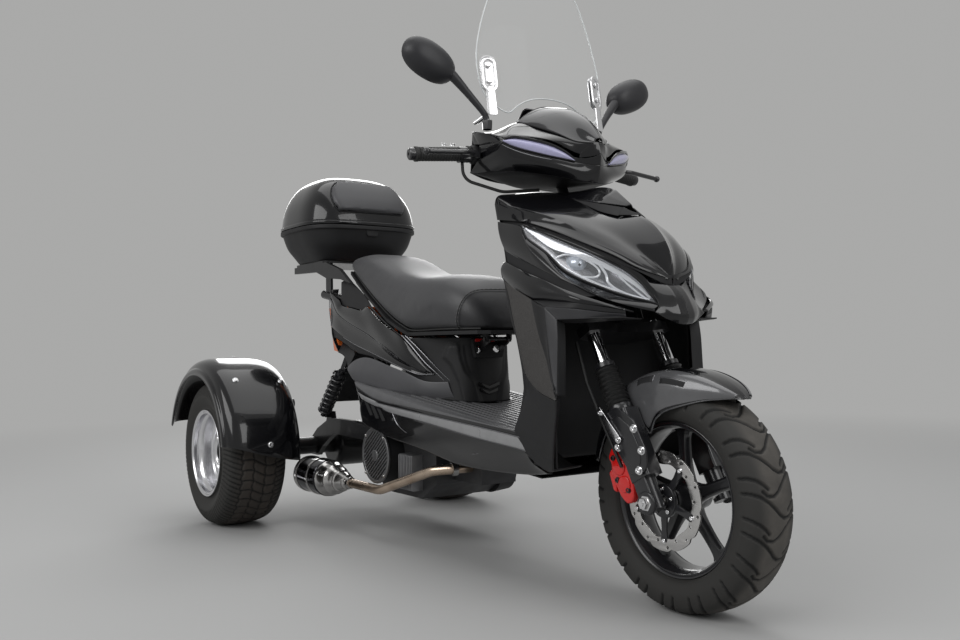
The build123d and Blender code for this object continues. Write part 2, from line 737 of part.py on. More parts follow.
plate_bolt_circle = 60.0
plate_hole_radius = 3.0
with BuildPart() as plate_holder:
    with BuildSketch(side):
        with BuildLine():
            Polyline((180, 572.6), (214, 567.2), (120, 470), (60, 392), (50, 396), (96, 470), close=True)
        make_face()
    extrude(amount=88, both=True)
    with BuildSketch(side):
        with BuildLine():
            Polyline((212, 556), (228, 558), (240, 578), (322.7, 663.3), (314.7, 670.8), (227, 588),
                     (225, 565.2),
                     (214, 566.5), close=True)
        make_face()
    extrude(amount=30, both=True)
    with BuildSketch(Plane(origin=body_point(73, 0, 433), x_dir=(0, 1, 0), z_dir=(-74, 0, 46))):
        with PolarLocations(plate_bolt_circle / 2, 4, start_angle=45):
            Circle(plate_hole_radius)
    extrude(amount=40, both=True, mode=Mode.SUBTRACT)
save(plate_holder.part, "plate_holder")

rail_bar = 13.0
grab_half = 128.0
carrier_z = box_floor_z - seat_gap
with BuildPart() as grab_rail:
    for sign in (-1, 1):
        with BuildSketch(side.offset(sign * (grab_half + 8))):
            with BuildLine():
                Polyline((-115, carrier_z - 8), (-115, carrier_z - 30), (70, carrier_z - 36),
                         (150, carrier_z - 62),
                         (262, 806 + seat_gap), (300, 796 + seat_gap), (330, 790), (250, carrier_z - 38),
                         (150, carrier_z - 8), close=True)
            make_face()
        extrude(amount=sign * rail_bar)
    with BuildSketch(plan.offset(carrier_z)):
        with Locations((box_centre_x, 0)):
            RectangleRounded(250, 2 * (grab_half + 8 + rail_bar), 20)
        with Locations((box_centre_x, 0)):
            with GridLocations(120, 120, 2, 2):
                Circle(4.2, mode=Mode.SUBTRACT)
    extrude(amount=-8)
    for sign in (-1, 1):
        with BuildSketch(side.offset(sign * (rail_half - 8))):
            with BuildLine():
                Polyline((70, 781.9), (110, 774.8), (110, carrier_z - 4), (70, carrier_z - 4), close=True)
            make_face()
        extrude(amount=sign * 8)
save(grab_rail.part, "grab_rail")

# ================================================================ top box
rim_band = 13.0
lid_gap = 0.6
box_hinge = (box_centre_x + box_length / 2 + 7, box_rim_z + rim_band + 2)
box_pin_radius = 3.0
box_ear_y = 60.0
box_ear = 6.0


def box_level(z, shrink, radius, inset=0.0, shift=0.0):
    """One rounded level of the box, smaller than the rim by shrink on each axis."""
    with BuildSketch(plan.offset(z)) as level:
        with Locations((box_centre_x + shift, 0)):
            RectangleRounded(box_length - shrink - 2 * inset, box_width - shrink - 2 * inset,
                             radius - inset)
    return level.sketch


tub_levels = [(box_floor_z, 116, 70), (box_floor_z + 52, 50, 92), (box_rim_z - rim_band, 14, 106)]
with BuildPart() as box_tub:
    for level in tub_levels:
        add(box_level(*level))
    loft(ruled=True)
    add(box_level(box_rim_z - rim_band, 0, 112))
    extrude(amount=rim_band)
with BuildPart() as tub_space:
    add(box_level(box_floor_z + box_wall, 112, 72, box_wall))
    add(box_level(box_floor_z + 52, 50, 92, box_wall))
    add(box_level(box_rim_z - rim_band, 14, 106, box_wall))
    loft(ruled=True)
    add(box_level(box_rim_z - rim_band, 14, 106, box_wall))
    extrude(amount=2 * rim_band)
with BuildPart() as box_tub_hollow:
    add(box_tub.part)
    add(tub_space.part, mode=Mode.SUBTRACT)
    with BuildSketch(plan.offset(box_floor_z)):
        with Locations((box_centre_x, 0)):
            with GridLocations(120, 120, 2, 2):
                Circle(4.2)
    extrude(amount=box_wall, mode=Mode.SUBTRACT)
    for sign in (-1, 1):
        with BuildSketch(side.offset(sign * box_ear_y)):
            with BuildLine():
                Polyline((box_hinge[0] - 9, box_rim_z - rim_band + 1),
                         (box_hinge[0] + 2, box_rim_z - rim_band + 3),
                         (box_hinge[0] + 7, box_hinge[1] - 4), (box_hinge[0] + 7, box_hinge[1] + 3),
                         (box_hinge[0] + 3, box_hinge[1] + 6), (box_hinge[0] - 2.4, box_hinge[1] + 5.8),
                         (box_hinge[0] - 5, box_hinge[1] + 3.6), (box_hinge[0] - 6.2, box_hinge[1]),
                         (box_hinge[0] - 6.4, box_rim_z - seat_gap),
                         (box_hinge[0] - 9, box_rim_z - seat_gap),
                         close=True)
            make_face()
            with Locations(box_hinge):
                Circle(box_pin_radius + running_gap, mode=Mode.SUBTRACT)
        extrude(amount=sign * box_ear)
save(box_tub_hollow.part, "box_tub")

lid_base = box_rim_z + lid_gap
lid_levels = [(lid_base + rim_band, 8, 108, 0), (lid_base + 62, 26, 104, -2), (lid_base + 118, 74, 96, -8),
              (lid_base + 160, 150, 82, -14), (box_top_z, 240, 66, -18)]
with BuildPart() as box_lid:
    for z, shrink, radius, shift in lid_levels:
        add(box_level(z, shrink, radius, 0, shift))
    loft(ruled=True)
    add(box_level(lid_base, 0, 112))
    extrude(amount=rim_band)
with BuildPart() as lid_space:
    for z, shrink, radius, shift in lid_levels[:-1]:
        add(box_level(z - box_wall / 2, shrink, radius, box_wall, shift))
    add(box_level(box_top_z - box_wall, 240, 66, box_wall, -18))
    loft(ruled=True)
    add(box_level(lid_base, 8, 108, box_wall))
    extrude(amount=rim_band - box_wall / 2)
with BuildPart() as box_lid_hollow:
    add(box_lid.part)
    add(lid_space.part, mode=Mode.SUBTRACT)
    for sign in (-1, 1):
        for start in (box_ear_y - box_ear - 0.6, box_ear_y + box_ear + 0.6):
            with BuildSketch(side.offset(sign * start)):
                with BuildLine():
                    Polyline((box_hinge[0] - 9, box_hinge[1] - 8), (box_hinge[0] - 3, box_hinge[1] - 6),
                             (box_hinge[0] + 5, box_hinge[1] - 4), (box_hinge[0] + 6, box_hinge[1] + 3),
                             (box_hinge[0], box_hinge[1] + 7), (box_hinge[0] - 9, box_hinge[1] + 10),
                             close=True)
                make_face()
            extrude(amount=sign * box_ear)
        with BuildSketch(side.offset(sign * (box_ear_y - 3))):
            with Locations(box_hinge):
                Circle(box_pin_radius)
        extrude(amount=sign * (box_ear + 6))
save(box_lid_hollow.part, "box_lid")

pad_base, pad_top = lid_base + 38, lid_base + 156
pad_outline = [(box_centre_x + box_length / 2 - 8, pad_base),
               (box_centre_x + box_length / 2 + 12, pad_base + 4),
               (box_centre_x + box_length / 2 + 12, pad_base + 30), (box_centre_x + 150, pad_top - 12),
               (box_centre_x + 132, pad_top + 6), (box_centre_x + 40, pad_top + 24),
               (box_centre_x + 40, pad_top - 40)]
with BuildPart() as lid_clearance:
    for z, shrink, radius, shift in lid_levels:
        add(box_level(z + seat_gap, shrink, radius, -seat_gap, shift))
    loft(ruled=True)
with BuildPart() as box_pad:
    add(core(pad_outline, None, [(pad_base - 1, 134), (pad_base + 60, 146), (pad_top - 10, 120),
                                 (pad_top + 30, 88)]))
    add(lid_clearance.part, mode=Mode.SUBTRACT)
save(box_pad.part, "box_pad")

# ================================================================ front body
cowl_top = [(1219, 938), (1290, 952), (1350, 948), (1450, 900), (1545, 830), (1618, 742), (1628, 712)]
cowl_nose = [(1655, 662), (1648, 632), (1600, 630)]
cowl_back = [(1463, 652), (1302, 716), (1270, 745), (1290, 778), (1262, 820)]
cowl_outline = [(wb - 1650 + x, z) for x, z in cowl_top + cowl_nose + cowl_back]
cowl_plan = [(wb - 1650 + x, h) for x, h in [(1150, 190), (1250, 206), (1340, 214), (1440, 236),
                                             (1470, 218),
                                             (1510, 170), (1555, 130), (1605, 92), (1645, 62), (1662, 30)]]
cowl_front = [(560, 242), (640, 240), (720, 238), (745, 222), (820, 212), (900, 204), (952, 190),
              (975, 150),
              (992, 96), (1050, 90)]
cowl_openings = [[(wb - 1650 + x, z) for x, z in [(1100, 930), (1226, 930), (1266, 820), (1294, 778),
                                                  (1276, 745),
                                                  (1306, 722), (1463, 662), (1560, 650), (1560, 560),
                                                  (1100, 560)]]]
lamp_outline = [(wb - 1650 + x, z) for x, z in [(1338, 858), (1458, 820), (1535, 775), (1587, 729),
                                                (1604, 696),
                                                (1620, 666), (1543, 683), (1488, 708), (1440, 740),
                                                (1403, 784),
                                                (1360, 823)]]
lamp_depth = 26.0
with BuildPart() as front_cowl:
    add(shell(cowl_outline, cowl_openings, cowl_plan, cowl_front, body_wall))
    add(core(lamp_outline, None, None, 0, -seat_gap), mode=Mode.SUBTRACT)
    with BuildSketch(stem_line.offset(head_tube_start + 200)):
        Circle(head_tube_radius + 8)
    extrude(amount=400, mode=Mode.SUBTRACT)
save(front_cowl.part, "front_cowl")

with BuildPart() as headlights:
    add(core(lamp_outline, cowl_plan, cowl_front, panel_gap))
    add(core([(0, 500), (wb + 200, 500), (wb + 200, 1000), (0, 1000)], cowl_plan, cowl_front, lamp_depth),
        mode=Mode.SUBTRACT)
save(headlights.part, "headlights")

shield_outline = [(wb - 1650 + x, z) for x, z in [
    (1216, 934), (1255, 818), (1284, 778), (1264, 745), (1293, 712), (1293, 560), (1274, 440)]] + [
    (deck_front - 4, deck_top(deck_front - 4) + seat_gap),
    (deck_front - 64, deck_top(deck_front - 64) + seat_gap)] + [(wb - 1650 + x, z) for x, z in [
        (1214, 440), (1180, 560), (1165, 700), (1172, 850), (1194, 930)]]
shield_open = [(wb - 1650 + x, z) for x, z in [
    (1205, 927), (1400, 927), (1400, 300), (1218, 300), (1218, 440), (1185, 560), (1170, 700),
    (1177, 850)]]
shield_front = [(300, 198), (960, 198)]
shield_plan = [(wb - 1650 + x, h) for x, h in [(1150, 44), (1168, 100), (1195, 150), (1235, 184), (1290, 198),
                                               (1500, 198)]]
with BuildPart() as leg_shield:
    add(core(shield_outline, shield_plan, shield_front))
    add(core(shield_open, shield_plan, shield_front, leg_shield_wall), mode=Mode.SUBTRACT)
save(leg_shield.part, "leg_shield")

flank_outline = [(wb - 1650 + x, z) for x, z in [
    (1304, 714.9), (1463, 651.7), (1506, 640), (1516, 515), (1503, 455), (1440, 340), (1378, 248),
    (1310, 244)]] + [
        (deck_front + seat_gap, 258), (deck_front + seat_gap, 430)] + [(wb - 1650 + x, z) for x, z in [
            (1298, 560), (1298, 700)]]
flank_front = [(236, 158), (300, 176), (400, 212), (500, 234), (600, 237), (720, 234)]
flank_flare = (flank_front[1][1] - flank_front[0][1]) / (flank_front[1][0] - flank_front[0][0])
flank_low = 150.0
flank_low_half = flank_front[0][1] - (flank_front[0][0] - flank_low) * flank_flare
with BuildPart() as flank_panels:
    add(core(flank_outline, None, flank_front))
    add(core([(0, 200), (wb + 300, 200), (wb + 300, 760), (0, 760)], None,
             [(flank_low, flank_low_half)] + flank_front[1:] + [(800, 234)], body_wall), mode=Mode.SUBTRACT)
save(flank_panels.part, "flank_panels")

liner_back = wb - 332.0
liner_outline = [(liner_back - 14, 262), (liner_back, 400), (liner_back, 640), (wb - 190, 640),
                 (wb - 190, 470),
                 (wb - 240, 350), (wb - 284, 262)]
liner_front = [(z, h - body_wall * 1.1 - seat_gap) for z, h in flank_front]
with BuildPart() as wheel_well_liner:
    add(core(liner_outline, None, liner_front))
    add(core([(liner_back + 3, 400), (liner_back + 3, 900), (wb + 100, 900), (wb + 100, 200),
              (liner_back - 11, 200), (liner_back - 11, 262)], None,
             [(flank_low, flank_low_half - body_wall * 1.1 - seat_gap)] + liner_front[1:] + [(950, 226)],
             3),
        mode=Mode.SUBTRACT)
save(wheel_well_liner.part, "wheel_well_liner")

belly_outline = [(liner_back - 14 - seat_gap, 262), (liner_back - 14 - seat_gap, 259), (1060, 278),
                 (1000, 286), (1000, 289), (1060, 281)]
with BuildPart() as belly_pan:
    add(core(belly_outline, None, [(200, 132), (400, 132)]))
save(belly_pan.part, "belly_pan")

# ================================================================ fork and front wheel carrier
leg_top = gaiter_start + 6.0
cover_start, cover_end = 52.0, 206.0
fork_cover_inner = fork_half_spacing - fork_leg_radius - 1
with BuildPart() as fork_legs:
    for sign in (-1, 1):
        with BuildSketch(fork.offset(-18)):
            with Locations((0, sign * fork_half_spacing)):
                Circle(fork_leg_radius)
        extrude(amount=18 + leg_top)
        with BuildSketch(fork.offset(cover_start)):
            with Locations((6, sign * (fork_half_spacing + 2))):
                RectangleRounded(58, 2 * fork_leg_radius + 6, 6)
        extrude(amount=cover_end - cover_start)
        with BuildSketch(fork.offset(fork_leg_radius + 60)):
            with Locations((0, sign * fork_half_spacing)):
                Circle(fork_tube_radius + 0.1)
        extrude(amount=leg_top, mode=Mode.SUBTRACT)
    with BuildSketch(Plane(origin=front_axle_point, x_dir=(1, 0, 0), z_dir=(0, 1, 0))):
        Circle(front_axle_radius + 0.1)
    extrude(amount=2 * fork_half_spacing, both=True, mode=Mode.SUBTRACT)
save(fork_legs.part, "fork_legs")

axle_end = fork_half_spacing + fork_leg_radius + 4
with BuildPart() as front_axle:
    with BuildSketch(Plane(origin=front_axle_point, x_dir=(1, 0, 0), z_dir=(0, 1, 0))):
        Circle(front_axle_radius)
    extrude(amount=axle_end + 6, both=True)
    for sign in (-1, 1):
        with BuildSketch(Plane(origin=(front_x, sign * axle_end, front_tyre_radius), x_dir=(1, 0, 0),
                               z_dir=(0, sign, 0))):
            RegularPolygon(13, 6)
        extrude(amount=9)
        with BuildSketch(Plane(origin=(front_x, sign * (hub_half + 1), front_tyre_radius), x_dir=(1, 0, 0),
                               z_dir=(0, sign, 0))):
            Circle(12)
        extrude(amount=fork_half_spacing - fork_leg_radius - hub_half - 2)
save(front_axle.part, "front_axle")

with BuildPart() as fork_tubes:
    for sign in (-1, 1):
        with BuildSketch(fork.offset(fork_leg_radius + 61)):
            with Locations((0, sign * fork_half_spacing)):
                Circle(fork_tube_radius)
        extrude(amount=clamp_start + clamp_height + 8 - fork_leg_radius - 61)
save(fork_tubes.part, "fork_tubes")

gaiter_rings = 9
gaiter_pitch = (gaiter_end - gaiter_start - 16) / gaiter_rings
gaiter_profile = [(fork_tube_radius + running_gap, leg_top + seat_gap),
                  (fork_leg_radius + 3, leg_top + seat_gap)]
for ring in range(gaiter_rings):
    start = gaiter_start + 8 + ring * gaiter_pitch
    gaiter_profile += [(fork_leg_radius + 3, start + 1.5), (gaiter_radius, start + gaiter_pitch * 0.5)]
gaiter_profile += [(fork_leg_radius + 2, gaiter_end - 8), (fork_leg_radius + 2, gaiter_end),
                   (fork_tube_radius + running_gap, gaiter_end)]
with BuildPart() as fork_gaiters:
    for sign in (-1, 1):
        foot = fork.from_local_coords((0, sign * fork_half_spacing, 0))
        with BuildSketch(Plane(origin=tuple(foot), x_dir=tuple(rake_forward), z_dir=(0, -1, 0))):
            with BuildLine():
                Polyline(*gaiter_profile, close=True)
            make_face()
        revolve(axis=Axis(tuple(foot), tuple(rake_up)))
save(fork_gaiters.part, "fork_gaiters")

with BuildPart() as steering_stem:
    with BuildSketch(fork.offset(clamp_start)):
        with BuildLine():
            Polyline((-stem_offset - 26, -34), (-stem_offset - 26, 34), (-24, fork_half_spacing + 24),
                     (18, fork_half_spacing + 24), (24, fork_half_spacing), (10, 30), (10, -30),
                     (24, -fork_half_spacing), (18, -fork_half_spacing - 24),
                     (-24, -fork_half_spacing - 24),
                     close=True)
        make_face()
        with Locations((0, fork_half_spacing), (0, -fork_half_spacing)):
            Circle(fork_tube_radius + 0.1, mode=Mode.SUBTRACT)
    extrude(amount=clamp_height)
    with BuildSketch(stem_line.offset(clamp_start)):
        Circle(stem_radius)
    extrude(amount=stem_top - clamp_start)
    with BuildSketch(stem_line.offset(clamp_start + clamp_height)):
        Circle(head_tube_radius)
    extrude(amount=head_tube_start - clamp_start - clamp_height - seat_gap)
    with BuildSketch(stem_line.offset(head_tube_end + seat_gap)):
        Circle(head_tube_radius - 3)
    extrude(amount=22)
save(steering_stem.part, "steering_stem")

fender_gap = 14.0
front_fender_radius = front_tyre_radius + fender_gap + 3
front_fender_half = front_tyre_width / 2 + joint_gap + 2
fender_tip_angle = 53.0
fender_tail_angle = 166.0
with BuildPart() as front_fender:
    first = Plane(origin=front_axle_point,
                  x_dir=(cos(radians(fender_tip_angle)), 0, sin(radians(fender_tip_angle))),
                  z_dir=(-sin(radians(fender_tip_angle)), 0, cos(radians(fender_tip_angle))))
    with BuildSketch(first):
        r, h = front_fender_radius, front_fender_half
        with BuildLine():
            Polyline((r - 56, h), (r - 10, h), (r + 6, h - 18), (r + 14, 0), (r + 6, 18 - h), (r - 10, -h),
                     (r - 56, -h), (r - 56, 3 - h), (r - 11, 3 - h), (r + 4, 20 - h), (r + 11, 0),
                     (r + 4, h - 20), (r - 11, h - 3), (r - 56, h - 3), close=True)
        make_face()
    revolve(axis=Axis(front_axle_point, (0, -1, 0)), revolution_arc=fender_tail_angle - fender_tip_angle)
    with BuildSketch(Plane(origin=(front_x, 0, front_tyre_radius), x_dir=(1, 0, 0), z_dir=(0, -1, 0))):
        with BuildLine():
            Polyline((400, 212), (165, 222), (110, 200), (60, 150), (30, 120), (-60, 120), (-120, 150),
                     (-200, 60), (-300, 30), (-300, -300), (400, -300), close=True)
        make_face()
    extrude(amount=front_fender_half + 10, both=True, mode=Mode.SUBTRACT)
    with BuildSketch(Plane(origin=(front_x, 0, 0))):
        with BuildLine():
            Polyline((-400, h + 1), (60, h + 1), (176, 16), (176, -16), (60, -h - 1), (-400, -h - 1),
                     close=True)
        make_face()
    extrude(amount=1000, mode=Mode.INTERSECT)
    for sign in (-1, 1):
        with BuildSketch(fork.offset(cover_start + 118)):
            with Locations((6, sign * (front_fender_half - 3 + fork_cover_inner - seat_gap) / 2)):
                Rectangle(32, fork_cover_inner - seat_gap - front_fender_half + 3)
        extrude(amount=45)
save(front_fender.part, "front_fender")

caliper_angle = 163.0
with BuildPart() as brake_caliper:
    centre = (front_x + disc_radius * cos(radians(caliper_angle)), -disc_offset,
              front_tyre_radius + disc_radius * sin(radians(caliper_angle)))
    caliper_plane = Plane(origin=centre, x_dir=tuple(rake_forward), z_dir=(0, -1, 0))
    with BuildSketch(caliper_plane.offset(-22)):
        RectangleRounded(48, 104, 14)
    extrude(amount=54)
    with BuildSketch(Plane(origin=(front_x, -disc_offset + disc_thickness / 2 + 2, front_tyre_radius),
                           x_dir=(1, 0, 0), z_dir=(0, -1, 0))):
        Circle(disc_radius + 4)
    extrude(amount=disc_thickness + 4, mode=Mode.SUBTRACT)
    with BuildSketch(Plane(origin=front_axle_point, x_dir=(1, 0, 0), z_dir=(0, -1, 0))):
        Circle(disc_inner_radius + 2)
    extrude(amount=200, mode=Mode.SUBTRACT)
    with BuildSketch(fork.offset(cover_start + 8)):
        with Locations((-42, -(disc_offset + fork_half_spacing + 4) / 2)):
            Rectangle(38, fork_half_spacing - disc_offset - 14)
    extrude(amount=50)
    with BuildSketch(fork):
        with Locations((6, -fork_half_spacing - 2)):
            Rectangle(58 + 2 * seat_gap, 2 * fork_leg_radius + 6 + 2 * seat_gap)
    extrude(amount=300, mode=Mode.SUBTRACT)
    with BuildSketch(fork.offset(-30)):
        with Locations((0, -fork_half_spacing)):
            Circle(fork_leg_radius + seat_gap)
    extrude(amount=300, mode=Mode.SUBTRACT)
save(brake_caliper.part, "brake_caliper")

# ================================================================ handlebar
with BuildPart() as handlebar:
    add(tube([(rear_x + bar_x - bar_end_back, -bar_end_half, bar_z - bar_end_drop),
              (rear_x + bar_x, -bar_straight_half, bar_z), (rear_x + bar_x, bar_straight_half, bar_z),
              (rear_x + bar_x - bar_end_back, bar_end_half, bar_z - bar_end_drop)], [60, 60], bar_radius))
    stem_head = stem_line.from_local_coords((0, 0, stem_top + seat_gap))
    with BuildSketch(stem_line.offset(stem_top + seat_gap)):
        Circle(24)
    extrude(amount=16)
    add(tube([(stem_head.X - 8, -14, stem_head.Z + 12), (rear_x + bar_x + 2, -14, bar_z)], None, 9))
    add(tube([(stem_head.X - 8, 14, stem_head.Z + 12), (rear_x + bar_x + 2, 14, bar_z)], None, 9))
save(handlebar.part, "handlebar")

bar_inner = {sign: Vector(rear_x + bar_x, sign * bar_straight_half, bar_z) for sign in (-1, 1)}
bar_outer = {sign: Vector(rear_x + bar_x - bar_end_back, sign * bar_end_half, bar_z - bar_end_drop)
             for sign in (-1, 1)}


def bar_plane(sign, along):
    """Plane across the bar's outer run, at this distance in from its end."""
    inward = (bar_inner[sign] - bar_outer[sign]).normalized()
    return Plane(origin=tuple(bar_outer[sign] + inward * along), x_dir=(1, 0, 0), z_dir=tuple(inward))


with BuildPart() as grips:
    for sign in (-1, 1):
        with BuildSketch(bar_plane(sign, -4)):
            Circle(grip_radius)
            Circle(bar_radius + 0.1, mode=Mode.SUBTRACT)
        extrude(amount=grip_length)
        with BuildSketch(bar_plane(sign, -4)):
            Circle(grip_radius + 3)
        extrude(amount=-8)
        with BuildSketch(bar_plane(sign, grip_length - 8)):
            Circle(grip_radius + 4)
            Circle(bar_radius + 0.1, mode=Mode.SUBTRACT)
        extrude(amount=4)
save(grips.part, "grips")

perch_start = grip_length + 2.0
perch_length = 34.0
with BuildPart() as brake_levers:
    for sign in (-1, 1):
        with BuildSketch(bar_plane(sign, perch_start)):
            Circle(grip_radius + 3)
            Circle(bar_radius + 0.1, mode=Mode.SUBTRACT)
        extrude(amount=perch_length)
        perch = bar_plane(sign, perch_start + perch_length / 2).origin
        pivot = (perch.X + 44, perch.Y, perch.Z - 6)
        with BuildSketch(Plane(origin=(perch.X + bar_radius + 2, perch.Y, perch.Z - 6), x_dir=(0, 1, 0),
                               z_dir=(1, 0, 0))):
            Rectangle(24, 16)
        extrude(amount=40)
        add(tube([(pivot[0], pivot[1], pivot[2]), (pivot[0] + 30, pivot[1] + sign * 40, pivot[2] - 4),
                  (pivot[0] + 22, pivot[1] + sign * 150, pivot[2] - 12)], [36], 6))
        with Locations((pivot[0] + 22, pivot[1] + sign * 150, pivot[2] - 12)):
            Sphere(9)
save(brake_levers.part, "brake_levers")

bar_cowl_outline = [(x + bar_x - 1135, z) for x, z in [
    (1088, 1078), (1098, 1128), (1150, 1152), (1196, 1164), (1262, 1150), (1322, 1092), (1360, 1030),
    (1335, 992),
    (1240, 982), (1130, 984), (1096, 1012)]]
bar_cowl_plan = [(x + bar_x - 1135, h) for x, h in [
    (1080, 186), (1110, 214), (1190, 223), (1262, 205), (1310, 147), (1346, 73), (1361, 34)]]
bar_cowl_front = [(960, 120), (990, 172), (1020, 208), (1080, 222), (1118, 213), (1150, 178), (1170, 118)]
bar_cowl_open = [[(x + bar_x - 1135, z) for x, z in [
    (1060, 1000), (1100, 990), (1128, 988), (1128, 900), (1060, 900)]]]
bar_lamp_outline = [(x + bar_x - 1135, z) for x, z in [(1252, 1094), (1300, 1084), (1352, 1034),
                                                       (1345, 1012),
                                                       (1290, 1036), (1254, 1062)]]
lamp_half_gap = 26.0
with BuildPart() as handlebar_cowl:
    add(shell(bar_cowl_outline, bar_cowl_open, bar_cowl_plan, bar_cowl_front, 3.0))
    for sign in (-1, 1):
        with BuildSketch(side.offset(-sign * (bar_straight_half - 30))):
            with Locations((bar_x + 22, bar_z - 6)):
                RectangleRounded(112, 68, 14)
        extrude(amount=-sign * 90, mode=Mode.SUBTRACT)
    with BuildSketch(stem_line.offset(stem_top - 90)):
        Circle(stem_radius + seat_gap)
    extrude(amount=90, mode=Mode.SUBTRACT)
    for sign in (-1, 1):
        with BuildSketch(side.offset(-sign * (lamp_half_gap - seat_gap))):
            with BuildLine():
                Polyline(*bar_lamp_outline, close=True)
            make_face()
            offset(amount=seat_gap, kind=Kind.INTERSECTION)
        extrude(amount=-sign * 300, mode=Mode.SUBTRACT)
save(handlebar_cowl.part, "handlebar_cowl")

with BuildPart() as bar_lights:
    add(core(bar_lamp_outline, bar_cowl_plan, bar_cowl_front, panel_gap))
    add(core([(0, 900), (wb + 200, 900), (wb + 200, 1300), (0, 1300)], bar_cowl_plan, bar_cowl_front, 16),
        mode=Mode.SUBTRACT)
    with BuildSketch(front_view):
        with Locations((0, bar_z)):
            Rectangle(2 * lamp_half_gap, 400)
    extrude(amount=3000, both=True, mode=Mode.SUBTRACT)
save(bar_lights.part, "bar_lights")

visor_outline = [(x + bar_x - 1135, z - 4.1) for x, z in [(1224, 1164), (1228, 1192), (1246, 1192),
                                                          (1320, 1106),
                                                    (1317, 1102), (1264, 1154)]]
with BuildPart() as cowl_visor:
    add(core(visor_outline, [(1190 + bar_x - 1135, 112), (1250 + bar_x - 1135, 104),
                             (1320 + bar_x - 1135, 48)],
             [(1090, 112), (1150, 100), (1180, 74), (1198, 36)]))
    add(core([(x - 5, z - 4) for x, z in visor_outline[1:-2]] + [
                 (1319 + bar_x - 1135, 1090), (bar_x + 15, 1090), (bar_x + 15, 1190)],
             [(1100 + bar_x - 1135, 108), (1190 + bar_x - 1135, 108), (1250 + bar_x - 1135, 100),
              (1320 + bar_x - 1135, 45)],
             [(1000, 108), (1090, 108), (1150, 96), (1180, 70), (1194, 33)]), mode=Mode.SUBTRACT)
save(cowl_visor.part, "cowl_visor")

mirror_y, mirror_x, mirror_z = 326.0, bar_x - 9, 1278.0
mirror_tilt = 24.0
stalk_foot = (bar_x + 21, 180.0, 1152.0)
with BuildPart() as mirrors:
    for sign in (-1, 1):
        head = Plane(origin=body_point(mirror_x, sign * mirror_y, mirror_z),
                     x_dir=(0, sign * cos(radians(mirror_tilt)), sin(radians(mirror_tilt))),
                     z_dir=(1, 0, 0))
        for depth, length, height in ((0, 84, 52), (14, 86, 53), (30, 74, 44), (42, 46, 26)):
            with BuildSketch(head.offset(depth)):
                Ellipse(length, height)
        loft(ruled=True)
        add(tube([body_point(stalk_foot[0], sign * stalk_foot[1], stalk_foot[2]),
                  body_point(stalk_foot[0], sign * stalk_foot[1], stalk_foot[2] + 26),
                  body_point(mirror_x + 26, sign * (mirror_y - 62), mirror_z - 32),
                  body_point(mirror_x + 24, sign * (mirror_y - 24), mirror_z - 10)], [12, 20], 7))
save(mirrors.part, "mirrors")

screen_base = (bar_x + 45, 1170.0)
screen_top_z = 1580.0
lean_up = Vector(-sin(radians(screen_lean)), 0, cos(radians(screen_lean)))
lean_forward = Vector(cos(radians(screen_lean)), 0, sin(radians(screen_lean)))
screen_plane = Plane(origin=body_point(screen_base[0], 0, screen_base[1] - 60), x_dir=tuple(lean_forward),
                     z_dir=tuple(lean_up))
screen_middle_forward = 34.0
with BuildPart() as windscreen:
    with BuildSketch(screen_plane):
        with Locations((screen_middle_forward - screen_radius, 0)):
            Circle(screen_radius)
            Circle(screen_radius - screen_thickness, mode=Mode.SUBTRACT)
        with Locations((-screen_radius, 0)):
            Rectangle(2 * screen_radius, 4 * screen_radius, mode=Mode.SUBTRACT)
    extrude(amount=540)
    with BuildSketch(front_view):
        with BuildLine():
            Polyline((-150, screen_base[1]), (150, screen_base[1]))
            Spline((150, screen_base[1]), (202, 1262), (184, 1392), (140, 1506), (0, screen_top_z),
                   (-140, 1506), (-184, 1392), (-202, 1262), (-150, screen_base[1]))
        make_face()
    extrude(amount=3000, mode=Mode.INTERSECT)
save(windscreen.part, "windscreen")

with BuildPart() as screen_brackets:
    for sign in (-1, 1):
        with BuildSketch(screen_plane.offset(41.2)):
            with Locations((screen_middle_forward - screen_radius, 0)):
                with PolarLocations(screen_radius + seat_gap + 2, 1, start_angle=sign * 17.0):
                    Rectangle(4, 24)
        extrude(amount=145)
save(screen_brackets.part, "screen_brackets")

hose_radius = 4.0
with BuildPart() as control_cables:
    add(tube([tuple(fork.from_local_coords((-30, -fork_half_spacing - 30, clamp_start - 4))),
              tuple(fork.from_local_coords((-38, -fork_half_spacing - 34, 300))),
              tuple(fork.from_local_coords((-46, -fork_half_spacing - 20, 190))),
              tuple(fork.from_local_coords((-50, -fork_half_spacing - 8, 100)))], [60, 60], hose_radius))
    add(tube([body_point(bar_x - 6, -233, bar_z - 23.4), body_point(bar_x - 2, -233, bar_z - 66),
              body_point(bar_x + 50, -150, bar_z - 98), body_point(bar_x + 92, -66, bar_z - 92)],
             [36, 60], hose_radius))
save(control_cables.part, "control_cables")
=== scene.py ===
import json
import math
import bpy
import bmesh
import numpy as np
from mathutils import Matrix, Vector


